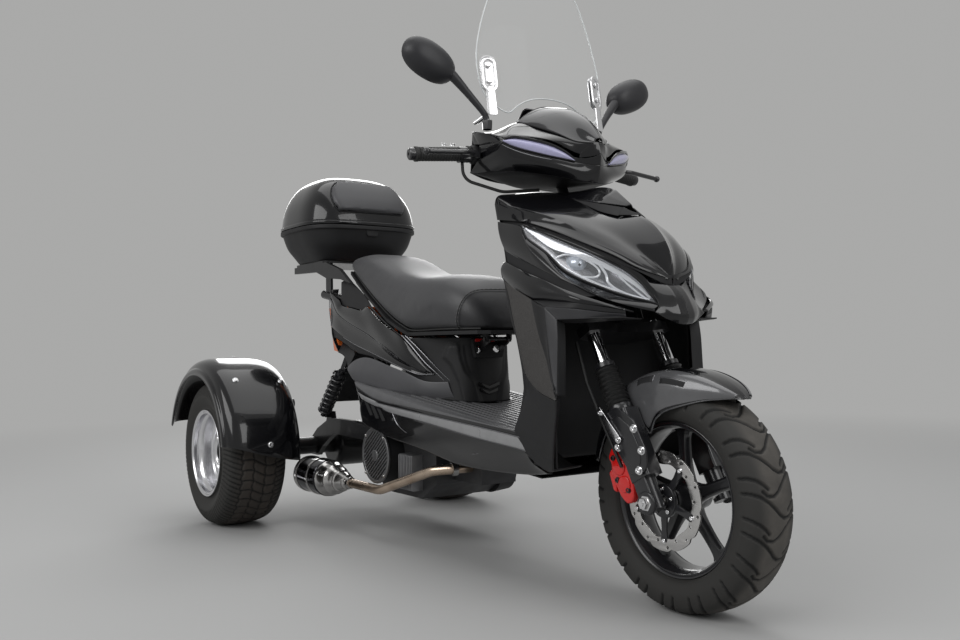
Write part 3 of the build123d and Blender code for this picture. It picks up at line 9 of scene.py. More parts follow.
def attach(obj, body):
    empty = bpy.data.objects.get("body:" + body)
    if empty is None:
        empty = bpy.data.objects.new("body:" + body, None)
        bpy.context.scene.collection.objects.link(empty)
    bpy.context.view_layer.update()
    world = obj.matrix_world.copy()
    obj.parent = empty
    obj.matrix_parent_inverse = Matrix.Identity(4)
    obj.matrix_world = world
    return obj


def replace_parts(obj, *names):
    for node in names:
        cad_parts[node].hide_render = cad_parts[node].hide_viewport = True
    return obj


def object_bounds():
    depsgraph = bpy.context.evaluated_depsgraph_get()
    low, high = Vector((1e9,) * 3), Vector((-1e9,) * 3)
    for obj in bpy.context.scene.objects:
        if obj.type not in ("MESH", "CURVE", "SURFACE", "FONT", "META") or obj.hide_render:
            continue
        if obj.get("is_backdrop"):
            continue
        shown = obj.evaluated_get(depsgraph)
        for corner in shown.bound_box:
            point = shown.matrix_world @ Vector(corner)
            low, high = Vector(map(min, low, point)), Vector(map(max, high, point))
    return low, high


# Sizes are in millimetres and X starts at the rear axle, except where a text says metres.
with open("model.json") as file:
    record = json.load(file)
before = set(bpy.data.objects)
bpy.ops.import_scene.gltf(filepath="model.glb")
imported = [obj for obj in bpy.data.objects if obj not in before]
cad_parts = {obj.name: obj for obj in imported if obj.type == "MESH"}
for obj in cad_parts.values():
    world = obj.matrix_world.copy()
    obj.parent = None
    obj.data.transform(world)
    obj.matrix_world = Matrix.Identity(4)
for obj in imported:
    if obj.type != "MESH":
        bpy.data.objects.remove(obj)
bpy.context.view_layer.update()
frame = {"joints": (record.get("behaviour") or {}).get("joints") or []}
joints = {j["name"]: j for j in frame["joints"]}
REAR = joints["rear_right_spin"]["pos_m"][0]
WB = (joints["front_wheel_spin"]["pos_m"][0] - REAR) * 1000
FRONT_RADIUS = round(joints["front_wheel_spin"]["pos_m"][2] * 1000, 3)
REAR_RADIUS = round(joints["rear_right_spin"]["pos_m"][2] * 1000, 3)
HALF_TRACK = round(abs(joints["rear_right_spin"]["pos_m"][1]) * 1000, 3)
RAKE = math.radians(27.5)
DECK_X, DECK_FALL = 400, 0.126
FRONT_MIDDLE, COWL_MIDDLE = (1380, -60, 760), (1200, 0, 1060)
SIDE_MIDDLE, SKIRT_MIDDLE = (450, 0, 640), (900, 0, 380)


# ---------------------------------------------------------------- shapes
def P(x, y, z):
    """Point in metres from millimetres, with X from the rear axle."""
    return Vector((REAR + x / 1000, y / 1000, z / 1000))


def natural(points, count):
    """Smooth curve through points of two or more numbers, sampled evenly in point number."""
    pts = np.array([tuple(p) for p in points], float)
    n = len(pts)
    if n < 3:
        t = np.linspace(0, 1, count)[:, None]
        return pts[0] * (1 - t) + pts[-1] * t
    a = np.zeros((n, n))
    b = np.zeros_like(pts)
    a[0, 0] = a[-1, -1] = 1
    for i in range(1, n - 1):
        a[i, i - 1:i + 2] = 1, 4, 1
        b[i] = 6 * (pts[i - 1] - 2 * pts[i] + pts[i + 1])
    m = np.linalg.solve(a, b)
    t = np.linspace(0, n - 1, count)
    i = np.minimum(t.astype(int), n - 2)
    f = (t - i)[:, None]
    p0, p1, m0, m1 = pts[i], pts[i + 1], m[i], m[i + 1]
    return p0 * (1 - f) + p1 * f - f * (1 - f) * ((2 - f) * m0 + (1 + f) * m1) / 6


def sharp_curve(points, count, corners=()):
    """As natural, but straight through the listed corners with no rounding across them."""
    cuts = [0] + sorted(corners) + [len(points) - 1]
    out = []
    spans = [cuts[i + 1] - cuts[i] for i in range(len(cuts) - 1)]
    each = [max(2, round(count * s / sum(spans)) + 1) for s in spans]
    each[-1] += count - (sum(each) - len(each) + 1)
    for (i, j), c in zip(zip(cuts, cuts[1:]), each):
        part = natural(points[i:j + 1], c)
        out += list(part if not out else part[1:])
    return np.array(out)


def rework(mesh, merge=0.0):
    """Joins points closer than merge metres and turns the faces of each shell one way."""
    bm = bmesh.new()
    bm.from_mesh(mesh)
    if merge:
        bmesh.ops.remove_doubles(bm, verts=bm.verts, dist=merge)
    bmesh.ops.recalc_face_normals(bm, faces=bm.faces)
    bm.to_mesh(mesh)
    bm.free()


def make(name, verts, faces, material, body=None, angle=None):
    """Smooth-shaded piece on a body, with its material; edges sharper than angle degrees stay sharp."""
    mesh = bpy.data.meshes.new(name)
    mesh.from_pydata([tuple(v) for v in verts], [], [tuple(f) for f in faces])
    mesh.validate()
    rework(mesh)
    obj = bpy.data.objects.new(name, mesh)
    bpy.context.scene.collection.objects.link(obj)
    if material:
        mesh.materials.append(material)
    for p in mesh.polygons:
        p.use_smooth = True
    if angle is not None:
        mesh.set_sharp_from_angle(angle=math.radians(angle))
    if body:
        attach(obj, body)
    return obj


# ---------------------------------------------------------------- camera, floor and lamps
scene = bpy.context.scene
scene.view_settings.view_transform = "Standard"
BACKGROUND = (0.40, 0.40, 0.395)


def camera():
    """Camera of the photograph, solved from the three wheels: place in millimetres, turns in radians."""
    place, lens = (3112.9, -1539.5, 575.8), 35.67
    yaw, pitch, roll = 2.5427, 0.0286, -0.0139
    f = Vector((math.cos(yaw) * math.cos(pitch), math.sin(yaw) * math.cos(pitch), math.sin(pitch)))
    r = f.cross(Vector((0, 0, 1))).normalized()
    u = r.cross(f)
    r2 = r * math.cos(roll) + u * math.sin(roll)
    u2 = -r * math.sin(roll) + u * math.cos(roll)
    m = Matrix((r2, u2, -f)).transposed().to_4x4()
    m.translation = P(*place)
    cam = bpy.data.objects.new("camera", bpy.data.cameras.new("camera"))
    cam.data.lens = lens
    cam.data.sensor_width = 36.0
    cam.data.clip_end = 200
    cam.matrix_world = m
    scene.collection.objects.link(cam)
    scene.camera = cam


def node_material(name):
    """New material with its node tree and its shader."""
    mat = bpy.data.materials.new(name)
    mat.use_nodes = True
    tree = mat.node_tree
    return mat, tree, tree.nodes["Principled BSDF"]


def fill(tree, node, inputs):
    """Gives a node's inputs their values, or their links where the value is an output of another node."""
    for key, value in inputs.items():
        if isinstance(value, bpy.types.NodeSocket):
            tree.links.new(value, node.inputs[key])
        else:
            node.inputs[key].default_value = value
    return node


def add_node(tree, kind, inputs, **settings):
    """New shader node with its settings and inputs."""
    node = tree.nodes.new("ShaderNode" + kind)
    for key, value in settings.items():
        setattr(node, key, value)
    return fill(tree, node, inputs)


def noise_fac(tree, source, scale, detail=2.0):
    """Output of a noise texture over the given coordinates."""
    return add_node(tree, "TexNoise", {"Vector": source, "Scale": scale, "Detail": detail}).outputs["Fac"]


def add_bump(tree, bsdf, height, strength, distance):
    bump = add_node(tree, "Bump", {"Strength": strength, "Distance": distance, "Height": height})
    fill(tree, bsdf, {"Normal": bump.outputs["Normal"]})


def studio():
    """Pale floor that fades into the background, and soft lamps."""
    floor_mat, tree, bsdf = node_material("floor")
    fill(tree, bsdf, {"Base Color": (0.44, 0.44, 0.435, 1), "Roughness": 0.75, "Specular IOR Level": 0.2})
    glow = add_node(tree, "Emission", {"Color": (*BACKGROUND, 1)})
    place = add_node(tree, "TexCoord", {}).outputs["Object"]
    length = add_node(tree, "VectorMath", {0: place}, operation="LENGTH")
    fade = add_node(tree, "MapRange", {"Value": length.outputs["Value"], "From Min": 1.6, "From Max": 6.0},
                    interpolation_type="SMOOTHSTEP")
    mix = add_node(tree, "MixShader", {"Fac": fade.outputs["Result"], 1: bsdf.outputs["BSDF"],
                                       2: glow.outputs["Emission"]})
    fill(tree, tree.nodes["Material Output"], {"Surface": mix.outputs["Shader"]})
    size = 60
    verts = [(-size, -size, 0), (size, -size, 0), (size, size, 0), (-size, size, 0)]
    floor = make("floor", verts, [(0, 1, 2, 3)], floor_mat)
    floor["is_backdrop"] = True
    world = bpy.data.worlds.new("world")
    scene.world = world
    world.use_nodes = True
    tree = world.node_tree
    ambient = fill(tree, tree.nodes["Background"], {"Color": (0.50, 0.51, 0.52, 1), "Strength": 0.5})
    seen = add_node(tree, "Background", {"Color": (*BACKGROUND, 1)})
    path = add_node(tree, "LightPath", {}).outputs
    direct = add_node(tree, "Math", {0: path["Is Camera Ray"], 1: path["Is Glossy Ray"]}, operation="MAXIMUM")
    shown = add_node(tree, "Math", {0: direct.outputs[0], 1: path["Is Transmission Ray"]}, operation="MAXIMUM")
    mix = add_node(tree, "MixShader", {"Fac": shown.outputs[0], 1: ambient.outputs["Background"],
                                       2: seen.outputs["Background"]})
    fill(tree, tree.nodes["World Output"], {"Surface": mix.outputs["Shader"]})
    # each lamp: name, place and aim in metres, its two sides in metres and its watts
    for name, spot, aim, size_x, size_y, power in (
            ("key", (0.6, -4.6, 3.4), (0, 0, 0.6), 5.0, 2.6, 128),
            ("front", (4.6, 0.8, 2.8), (0.4, 0, 0.6), 2.6, 2.4, 55),
            ("top", (0.0, 0.6, 4.8), (0, 0, 0.5), 6.5, 4.5, 112),
            ("back", (-4.4, 2.2, 2.8), (0, 0, 0.6), 3.0, 2.2, 75)):
        lamp = bpy.data.lights.new(name, "AREA")
        lamp.shape = "RECTANGLE"
        lamp.size, lamp.size_y, lamp.energy = size_x, size_y, power
        obj = bpy.data.objects.new(name, lamp)
        obj.location = spot
        obj.visible_transmission = False
        obj.rotation_euler = (Vector(aim) - Vector(spot)).to_track_quat("-Z", "Y").to_euler()
        scene.collection.objects.link(obj)


camera()
studio()


# ---------------------------------------------------------------- materials
def material(name, color, rough=0.5, metal=0.0, coat=0.0, coat_rough=0.05, noise=0.0, noise_scale=40.0, bump=0.0,
             bump_scale=300.0, rough_var=0.0, tint=None, spec=0.5, bump_dist=0.0006, stretch=None):
    """Principled material with colour and roughness variation and a fine bump."""
    mat, tree, bsdf = node_material(name)
    fill(tree, bsdf, {"Base Color": (*color, 1), "Roughness": rough, "Metallic": metal, "Coat Weight": coat,
                      "Coat Roughness": coat_rough, "Coat IOR": 1.4, "Specular IOR Level": spec})
    source = add_node(tree, "TexCoord", {}).outputs["Object"]
    if stretch:
        source = add_node(tree, "Mapping", {"Vector": source, "Scale": stretch}).outputs["Vector"]
    if noise:
        mix = add_node(tree, "Mix", {}, data_type="RGBA")
        fill(tree, mix, {0: noise_fac(tree, source, noise_scale, 6), 6: (*[c * (1 - noise) for c in color], 1),
                         7: (*[min(1, c * (1 + noise)) for c in tint or color], 1)})
        fill(tree, bsdf, {"Base Color": mix.outputs[2]})
    if rough_var:
        span = add_node(tree, "MapRange", {"Value": noise_fac(tree, source, noise_scale * 0.6, 4),
                                           "To Min": max(0.02, rough - rough_var), "To Max": rough + rough_var})
        fill(tree, bsdf, {"Roughness": span.outputs["Result"]})
    if bump:
        add_bump(tree, bsdf, noise_fac(tree, source, bump_scale, 3), bump, bump_dist)
    return mat


def glass(name, color, rough, alpha):
    """Thin clear plastic, seen through by its alpha."""
    mat, tree, bsdf = node_material(name)
    fill(tree, bsdf, {"Base Color": (*color, 1), "IOR": 1.45, "Alpha": alpha})
    place = add_node(tree, "TexCoord", {}).outputs["Object"]
    span = add_node(tree, "MapRange", {"Value": noise_fac(tree, place, 60), "To Min": rough * 0.5,
                                       "To Max": rough * 1.8})
    fill(tree, bsdf, {"Roughness": span.outputs["Result"]})
    return mat


FINE = dict(bump_scale=900, bump_dist=0.0003)
gloss = material("gloss_black", (0.004, 0.004, 0.005), 0.22, coat=1.0, coat_rough=0.03, rough_var=0.05, noise_scale=9,
                 spec=0.2, noise=0.2)
matte = material("moulded_black", (0.013, 0.013, 0.014), 0.52, noise=0.15, spec=0.35, rough_var=0.08, bump=0.25,
                 **FINE)
# Near-black for insides, slots and vents, and also for the painted shade strips under the hood edge, behind the lip and
# round the box pad
dark = material("inner_black_and_painted_shade", (0.008, 0.008, 0.009), 0.75, noise=0.2)
grey_trim = material("grey_trim", (0.075, 0.075, 0.08), 0.45, noise=0.12, rough_var=0.06, bump=0.2, **FINE)
flank_grey = material("flank_grey", (0.034, 0.034, 0.037), 0.4, noise=0.12, rough_var=0.06, bump=0.2, **FINE)
gaiter_rubber = material("gaiter_rubber", (0.014, 0.014, 0.014), 0.34, noise=0.2, bump=0.2, bump_scale=700)
frame_paint = material("frame_paint", (0.010, 0.010, 0.011), 0.36, coat=0.4, noise=0.2, rough_var=0.1, spec=0.3)
steel = material("bright_steel", (0.62, 0.61, 0.60), 0.24, 1.0, rough_var=0.08, noise=0.1)
chrome = material("chrome_plate", (0.80, 0.80, 0.81), 0.07, 1.0, rough_var=0.03)
alloy = material("machined_alloy", (0.74, 0.74, 0.76), 0.22, 1.0, rough_var=0.06, noise=0.06)
black_alloy = material("black_alloy", (0.014, 0.014, 0.016), 0.30, 0.0, coat=0.6, coat_rough=0.1, rough_var=0.08)
cast = material("cast_alloy", (0.32, 0.32, 0.33), 0.5, 0.85, noise=0.25, rough_var=0.12, bump=0.5, bump_scale=500)
rubber = material("rubber_black", (0.018, 0.018, 0.018), 0.62, noise=0.2, bump=0.3, bump_scale=700)
red = material("red_paint", (0.70, 0.014, 0.012), 0.25, coat=0.8, rough_var=0.06, bump=0.15, bump_scale=400)
white_edge = material("white_edge", (0.75, 0.78, 0.78), 0.25)
clear = glass("clear_plastic", (0.90, 0.93, 0.96), 0.02, 0.07)
reflector = material("reflector", (0.42, 0.42, 0.44), 0.22, 0.9, noise=0.25, noise_scale=30, rough_var=0.08)
bright_white = material("lamp_white", (0.86, 0.88, 0.92), 0.18, 0.35, rough_var=0.05)
lamp_glass = material("lamp_projector", (0.55, 0.60, 0.68), 0.05, 0.4, coat=1.0, rough_var=0.02)
carbon = material("grained_plastic", (0.045, 0.042, 0.040), 0.45, noise=0.45, noise_scale=220, bump=0.9,
                  bump_scale=420, bump_dist=0.0012, rough_var=0.12)
signal = material("signal_lens", (0.46, 0.45, 0.66), 0.14, 0.0, coat=1.0, noise=0.12, noise_scale=60,
                  rough_var=0.05, stretch=(1, 6, 1))


# ---------------------------------------------------------------- shape helpers
def grid_rows(curves, nu, nv, corners=(), across=None):
    """Rows of points of a sheet through the curves: nu along them and nv across them."""
    rails = [sharp_curve(c, nu, corners) if corners else natural(c, nu) for c in curves]
    return [(natural([r[i] for r in rails], nv) if across is None else
             sharp_curve([r[i] for r in rails], nv, across)) for i in range(nu)]


def sheet_faces(nu, nv, base=0, ring=False):
    """Quads of nu rows of nv points, counted from base; a ring joins each row's end to its start."""
    return [(base + i * nv + j, base + i * nv + (j + 1) % nv, base + (i + 1) * nv + (j + 1) % nv,
             base + (i + 1) * nv + j) for i in range(nu - 1) for j in range(nv if ring else nv - 1)]


def grid(rows):
    """Vertices and faces of rows of points in metres."""
    return [v for row in rows for v in row], sheet_faces(len(rows), len(rows[0]))


def sheet_pair(rows):
    """Vertices and faces of a grid of points in millimetres and of its mirror image."""
    verts, faces = [], []
    for side in (1, -1):
        quads = sheet_faces(len(rows), len(rows[0]), len(verts))
        verts += [P(x, y * side, z) for row in rows for x, y, z in row]
        faces += quads if side > 0 else [tuple(reversed(q)) for q in quads]
    return verts, faces


def thicken(obj, thickness=0.0, bevel=0.0, offset=-1.0):
    """Gives a sheet its thickness, inwards at offset -1, and breaks its edges; both in metres."""
    if thickness:
        mod = obj.modifiers.new("thick", "SOLIDIFY")
        mod.thickness, mod.offset = thickness, offset
    if bevel:
        mod = obj.modifiers.new("edge", "BEVEL")
        mod.width, mod.segments, mod.limit_method = bevel, 2, "ANGLE"
        mod.angle_limit = math.radians(50)


def orient(obj, centre):
    """Turns each sheet's faces away from a point in millimetres, whose y follows the sheet's side."""
    bm = bmesh.new()
    bm.from_mesh(obj.data)
    bm.faces.ensure_lookup_table()
    seen = set()
    for face in bm.faces:
        if face.index in seen:
            continue
        island, stack = [], [face]
        while stack:
            f = stack.pop()
            if f.index in seen:
                continue
            seen.add(f.index)
            island.append(f)
            for e in f.edges:
                stack += [g for g in e.link_faces if g.index not in seen]
        middle = sum((f.calc_center_median() for f in island), Vector()) / len(island)
        c = P(*centre)
        if middle.y > 0:
            c.y = -c.y
        if sum(f.normal.dot(f.calc_center_median() - c) * f.calc_area() for f in island) < 0:
            bmesh.ops.reverse_faces(bm, faces=island)
    bm.to_mesh(obj.data)
    bm.free()


def shell(name, verts, faces, mat, centre, body="chassis", angle=50, thickness=0.003, bevel=0.0, offset=-1.0):
    """Sheet turned away from a centre in millimetres and given its thickness in metres."""
    obj = make(name, verts, faces, mat, body, angle=angle)
    orient(obj, centre)
    thicken(obj, thickness, bevel, offset)
    return obj


def panel(name, curves, mat, body="chassis", nu=40, nv=14, corners=(), across=None, thickness=0.003,
          bevel=0.0008, angle=38, outside=FRONT_MIDDLE):
    """Smooth panel through curves of (x, y, z) millimetres, with its mirror image on the other side."""
    verts, faces = sheet_pair(grid_rows(curves, nu, nv, corners, across))
    return shell(name, verts, faces, mat, outside, body, angle, thickness, bevel)


def shift(curve, dx=0.0, dy=0.0, dz=0.0):
    """Moves a curve; dy is outwards, away from the middle."""
    return [(x + dx, y - dy if y < 0 else y + dy if y > 0 else y, z + dz) for x, y, z in curve]


def between(a, b, t, bulge=0.0):
    """Curve part of the way from a to b, pushed outwards by bulge."""
    n = max(len(a), len(b), 12)
    p, q = natural(a, n), natural(b, n)
    return [(u[0] + (v[0] - u[0]) * t, u[1] + (v[1] - u[1]) * t - bulge, u[2] + (v[2] - u[2]) * t)
            for u, v in zip(p, q)]


def tube_mesh(points, radius, sides=10, closed=False):
    """Vertices and faces of a tube along points in metres; radius may be a list."""
    n = len(points)
    radii = radius if isinstance(radius, (list, tuple)) else [radius] * n
    verts = []
    up = Vector((0, 0, 1))
    for i, p in enumerate(points):
        a = points[(i - 1) % n] if closed or i else points[0]
        b = points[(i + 1) % n] if closed or i < n - 1 else points[-1]
        d = (b - a).normalized()
        side = d.cross(up)
        if side.length < 1e-3:
            side = d.cross(Vector((1, 0, 0)))
        side.normalize()
        top = side.cross(d).normalized()
        for k in range(sides):
            t = 2 * math.pi * k / sides
            verts.append(p + (side * math.cos(t) + top * math.sin(t)) * radii[i])
    faces = sheet_faces(n, sides, ring=True)
    if closed:
        last = (n - 1) * sides
        faces += [(last + k, last + (k + 1) % sides, (k + 1) % sides, k) for k in range(sides)]
    else:
        faces += [tuple(range(sides - 1, -1, -1)), tuple((n - 1) * sides + k for k in range(sides))]
    return verts, faces


def tubes(name, runs, mat, body="chassis", sides=10, samples=0, mirror=False):
    """Joined tubes: runs is a list of (points in millimetres, radius in millimetres)."""
    verts, faces = [], []
    for pts, radius in runs:
        line = natural(pts, samples) if samples and len(pts) > 2 else pts
        for side in ((1, -1) if mirror else (1,)):
            if isinstance(radius, (list, tuple)):
                radii = [float(r) / 1000 for r in np.interp(np.linspace(0, 1, len(line)),
                                                            np.linspace(0, 1, len(radius)), radius)]
            else:
                radii = radius / 1000
            v, f = tube_mesh([P(x, y * side, z) for x, y, z in line], radii, sides)
            base = len(verts)
            verts += v
            faces += [tuple(base + i for i in q) for q in f]
    return make(name, verts, faces, mat, body, angle=40)


def lathe(name, profiles, mat, body="chassis", sides=64, angle=35):
    """Turned pieces: profiles is a list of (centre in metres, axis, [(radius, along) in millimetres])."""
    verts, faces = [], []
    for centre, axis, profile in profiles:
        axis = Vector(axis).normalized()
        helper = Vector((0, 0, 1)) if abs(axis.z) < 0.9 else Vector((1, 0, 0))
        u = axis.cross(helper).normalized()
        w = axis.cross(u)
        faces += sheet_faces(len(profile), sides, len(verts), ring=True)
        for r, a in profile:
            for k in range(sides):
                t = 2 * math.pi * k / sides
                verts.append(centre + axis * (a / 1000) + (u * math.cos(t) + w * math.sin(t)) * (max(r, 0.05) / 1000))
    return make(name, verts, faces, mat, body, angle=angle)


def bolts(name, places, mat, body="chassis", radius=6.0, height=4.0):
    """Hexagon socket screw heads: places is a list of (centre in metres, outward axis)."""
    profile = [(radius * 0.45, height * 0.35), (radius * 0.5, height * 0.95), (radius * 0.86, height),
               (radius, height * 0.8), (radius, 0), (radius * 1.25, 0), (radius * 1.3, -0.8)]
    return lathe(name, [(c, a, [(0.1, height * 0.35)] + profile) for c, a in places], mat, body, 12)


def axes(point, u, v):
    """Matrix of a drawing plane: millimetre origin, directions of its two axes, and its normal."""
    u, v = Vector(u).normalized(), Vector(v)
    n = u.cross(v).normalized()
    m = Matrix((u, n.cross(u), n)).transposed().to_4x4()
    m.translation = P(*point)
    return m


def plates(name, items, mat, body="chassis", angle=40):
    """Flat pieces cut from outlines: items are (loops in millimetres, matrix, thickness, bevel)."""
    bm = bmesh.new()
    for loops, matrix, thickness, bevel in items:
        curve = bpy.data.curves.new(name, "CURVE")
        curve.dimensions, curve.fill_mode = "2D", "BOTH"
        curve.extrude = max(0, thickness / 2 - bevel) / 1000
        curve.bevel_depth, curve.bevel_resolution, curve.offset = bevel / 1000, 2, -bevel / 1000
        for loop in loops:
            spline = curve.splines.new("POLY")
            spline.points.add(len(loop) - 1)
            for point, (u, v) in zip(spline.points, loop):
                point.co = (u / 1000, v / 1000, 0, 1)
            spline.use_cyclic_u = True
        temp = bpy.data.objects.new(name, curve)
        mesh = bpy.data.meshes.new_from_object(temp)
        mesh.transform(matrix)
        bm.from_mesh(mesh)
        bpy.data.objects.remove(temp)
        bpy.data.meshes.remove(mesh)
    bmesh.ops.remove_doubles(bm, verts=bm.verts, dist=1e-6)
    bmesh.ops.recalc_face_normals(bm, faces=bm.faces)
    obj = make(name, [], [], mat, body)
    bm.to_mesh(obj.data)
    bm.free()
    for p in obj.data.polygons:
        p.use_smooth = True
        p.material_index = 0
    obj.data.set_sharp_from_angle(angle=math.radians(angle))
    return obj


def rounded(points, radius, steps=5):
    """Closed outline with its corners rounded; radius may be a list."""
    out = []
    n = len(points)
    for i, p in enumerate(points):
        p = np.array(p, float)
        a, b = np.array(points[i - 1], float) - p, np.array(points[(i + 1) % n], float) - p
        r = radius[i] if isinstance(radius, (list, tuple)) else radius
        la, lb = np.linalg.norm(a), np.linalg.norm(b)
        r = min(r, la / 2, lb / 2)
        if r < 0.01:
            out.append(tuple(p))
            continue
        a, b = p + a / la * r, p + b / lb * r
        for k in range(steps + 1):
            t = k / steps
            out.append(tuple((1 - t) ** 2 * a + 2 * t * (1 - t) * p + t * t * b))
    return out


def both_sides(plan):
    """Plan of (x, half width) points from the outside in, carried on to the other side."""
    return [(x, -y) for x, y in plan] + [(x, y) for x, y in plan[::-1][1:]]


def turned(outline, angle):
    """Outline turned about its origin by an angle in radians."""
    c, s = math.cos(angle), math.sin(angle)
    return [(u * c - v * s, u * s + v * c) for u, v in outline]


def bolt_circle(centre, radius, y, first, count):
    """Points round an axle that runs along Y, in metres, the first at an angle in degrees."""
    turns = [math.radians(first + 360 * k / count) for k in range(count)]
    return [centre + Vector((radius * math.cos(t), y, radius * math.sin(t))) for t in turns]


def circle(u, v, radius, sides=24):
    """Closed round outline."""
    return [(u + radius * math.cos(2 * math.pi * k / sides), v + radius * math.sin(2 * math.pi * k / sides))
            for k in range(sides)]


def join(name, parts, mat, body="chassis"):
    """One piece from several made objects."""
    bm = bmesh.new()
    for part in parts:
        bm.from_mesh(part.data)
        mesh = part.data
        bpy.data.objects.remove(part)
        bpy.data.meshes.remove(mesh)
    obj = make(name, [], [], mat, body)
    bm.to_mesh(obj.data)
    bm.free()
    obj.data.set_sharp_from_angle(angle=math.radians(40))
    return obj


# ---------------------------------------------------------------- front body
hood_low = [(1236, -204, 884), (1285, -204, 877), (1328, -203, 870), (1347, -201, 867), (1421, -189, 843),
            (1485, -167, 814), (1534, -139, 789), (1569, -111, 767), (1597, -78, 743), (1616, -14, 723)]
hood_curves = [
    [(1205, 0, 968), (1290, 0, 957), (1376, 0, 929), (1440, 0, 903), (1500, 0, 882), (1548, 0, 858),
     (1584, 0, 826), (1606, 0, 792), (1617, 0, 758), (1614, 0, 722)],
    [(1208, -62, 967), (1290, -62, 952), (1366, -62, 925), (1440, -60, 890), (1496, -54, 862), (1542, -44, 832),
     (1578, -32, 800), (1602, -20, 766), (1613, -10, 740), (1615, -3, 722)],
    [(1212, -140, 956), (1290, -136, 934), (1370, -126, 908), (1434, -114, 880), (1486, -97, 852),
     (1530, -76, 822), (1566, -54, 790), (1594, -32, 758), (1610, -14, 735), (1616, -6, 722)],
    [(1222, -190, 946), (1292, -178, 918), (1374, -164, 894), (1432, -148, 870), (1481, -128, 845),
     (1525, -104, 818), (1562, -76, 788), (1594, -48, 756), (1611, -22, 733), (1616, -9, 722)],
    [(1225, -203, 924), (1295, -193, 908), (1376, -180, 884), (1433, -166, 860), (1481, -147, 835),
     (1525, -124, 808), (1562, -96, 782), (1594, -62, 752), (1611, -30, 732), (1616, -12, 722)],
    hood_low,
]
hood = panel("hood_panel", hood_curves, gloss, nu=72, nv=30, thickness=0.004, bevel=0.001, across=[4])
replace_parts(hood, "front_cowl")

band_low = [(1240, -203, 872), (1290, -204, 866), (1345, -203, 856), (1422, -191, 832), (1486, -168, 804),
            (1535, -141, 778), (1570, -115, 756), (1600, -82, 736), (1614, -40, 716), (1620, 0, 706)]
panel("hood_shadow", [shift(hood_low, 0, -10, 6), shift(band_low, -2, -6, -2)], dark, nu=60, nv=4,
      thickness=0.002)
lens_top = [(1338, -204, 861), (1360, -199, 853), (1415, -190, 830), (1471, -172, 804), (1516, -152, 783),
            (1552, -126, 759), (1581, -100, 736), (1600, -80, 711), (1613, -66, 687), (1625, -56, 666)]
lens_low = [(1338, -206, 857), (1361, -208, 825), (1416, -202, 792), (1450, -193, 760), (1474, -182, 739),
            (1510, -162, 718), (1545, -136, 700), (1578, -108, 684), (1608, -78, 673), (1627, -58, 664)]
strip_top = [(1348, -203, 855), (1380, -199, 846), (1422, -191, 831), (1486, -168, 803), (1535, -141, 777),
             (1570, -115, 755), (1598, -84, 733), (1612, -66, 710), (1624, -58, 690), (1632, -54, 668)]
panel("lamp_strip", [strip_top, between(strip_top, lens_top, 0.5, 1.5), lens_top], gloss, nu=60, nv=6)
cheek_low = [(1269, -205, 806), (1336, -211, 780), (1417, -216, 751), (1482, -211, 724), (1532, -192, 702),
             (1566, -162, 680), (1596, -120, 662), (1634, -72, 647)]
seam = [(1238, -204, 880), (1262, -205, 874), (1300, -207, 866), (1338, -208, 858), (1361, -209, 825),
        (1416, -203, 790), (1450, -194, 758), (1474, -183, 737), (1510, -163, 716), (1545, -137, 698),
        (1578, -109, 682), (1608, -80, 671), (1630, -60, 662)]
panel("cheek_panel", [seam, between(seam, cheek_low, 0.33, 5), between(seam, cheek_low, 0.7, 5), cheek_low],
      gloss, nu=72, nv=14, corners=[3])
panel("beak_panel", [
    [(1606, 0, 716), (1636, 0, 692), (1656, 0, 658), (1661, 0, 634), (1652, 0, 619)],
    [(1602, -18, 719), (1632, -20, 694), (1652, -22, 660), (1658, -23, 637), (1650, -24, 621)],
    [(1596, -42, 722), (1620, -42, 698), (1640, -43, 666), (1648, -44, 645), (1644, -46, 630)],
    [(1584, -66, 733), (1606, -64, 708), (1622, -62, 682), (1634, -61, 662), (1638, -76, 646)]],
    gloss, nu=26, nv=20, across=[1], angle=24)
lip_top = [(1262, -204, 780), (1281, -208, 776), (1342, -216, 755), (1425, -219, 728), (1489, -212, 703),
           (1539, -203, 686), (1572, -164, 669), (1596, -126, 656)]
lip_low = [(1258, -207, 745), (1270, -211, 735), (1335, -224, 708), (1404, -229, 681), (1495, -215, 673),
           (1543, -206, 667), (1574, -166, 659), (1600, -128, 651)]
panel("lip_trim", [lip_top, between(lip_top, lip_low, 0.5, 7), lip_low], gloss, nu=48, nv=10, corners=[3],
      angle=25)
panel("lip_shadow", [shift(cheek_low[:6], -4, -2, 4), shift(lip_top[1:-2], -4, -4, -4)], dark, nu=40, nv=4,
      thickness=0.002)
panel("lip_underside", [shift(lip_low, 0, -1, 0), shift(lip_low, -6, -30, -4)], matte, nu=40, nv=4)

# the raised rib on the hood and the air slot under it
rib_edge = [(1296, -66, 951), (1358, -60, 930), (1437, -50, 911), (1484, -10, 900)]
panel("hood_rib", [[(1280, 0, 961), (1380, 0, 960), (1438, 0, 945), (1489, 0, 905)],
                   [(1288, -34, 957), (1370, -32, 948), (1437, -27, 930), (1487, -5, 902)], rib_edge],
      gloss, nu=30, nv=12, thickness=0.005, bevel=0.001, corners=[2], across=[1], angle=20)
panel("hood_slot", [[(1352, -62, 929), (1400, -56, 918), (1440, -48, 908), (1480, -14, 897)],
                    [(1358, -64, 929), (1402, -63, 909), (1450, -61, 888), (1492, -44, 874)]],
      dark, nu=20, nv=5, thickness=0.001)
panel("hood_slot_front", [[(1481, -16, 898), (1500, -8, 886), (1516, 0, 880)],
                          [(1492, -42, 876), (1504, -22, 876), (1520, 0, 876)]], dark, nu=10, nv=4,
      thickness=0.001)

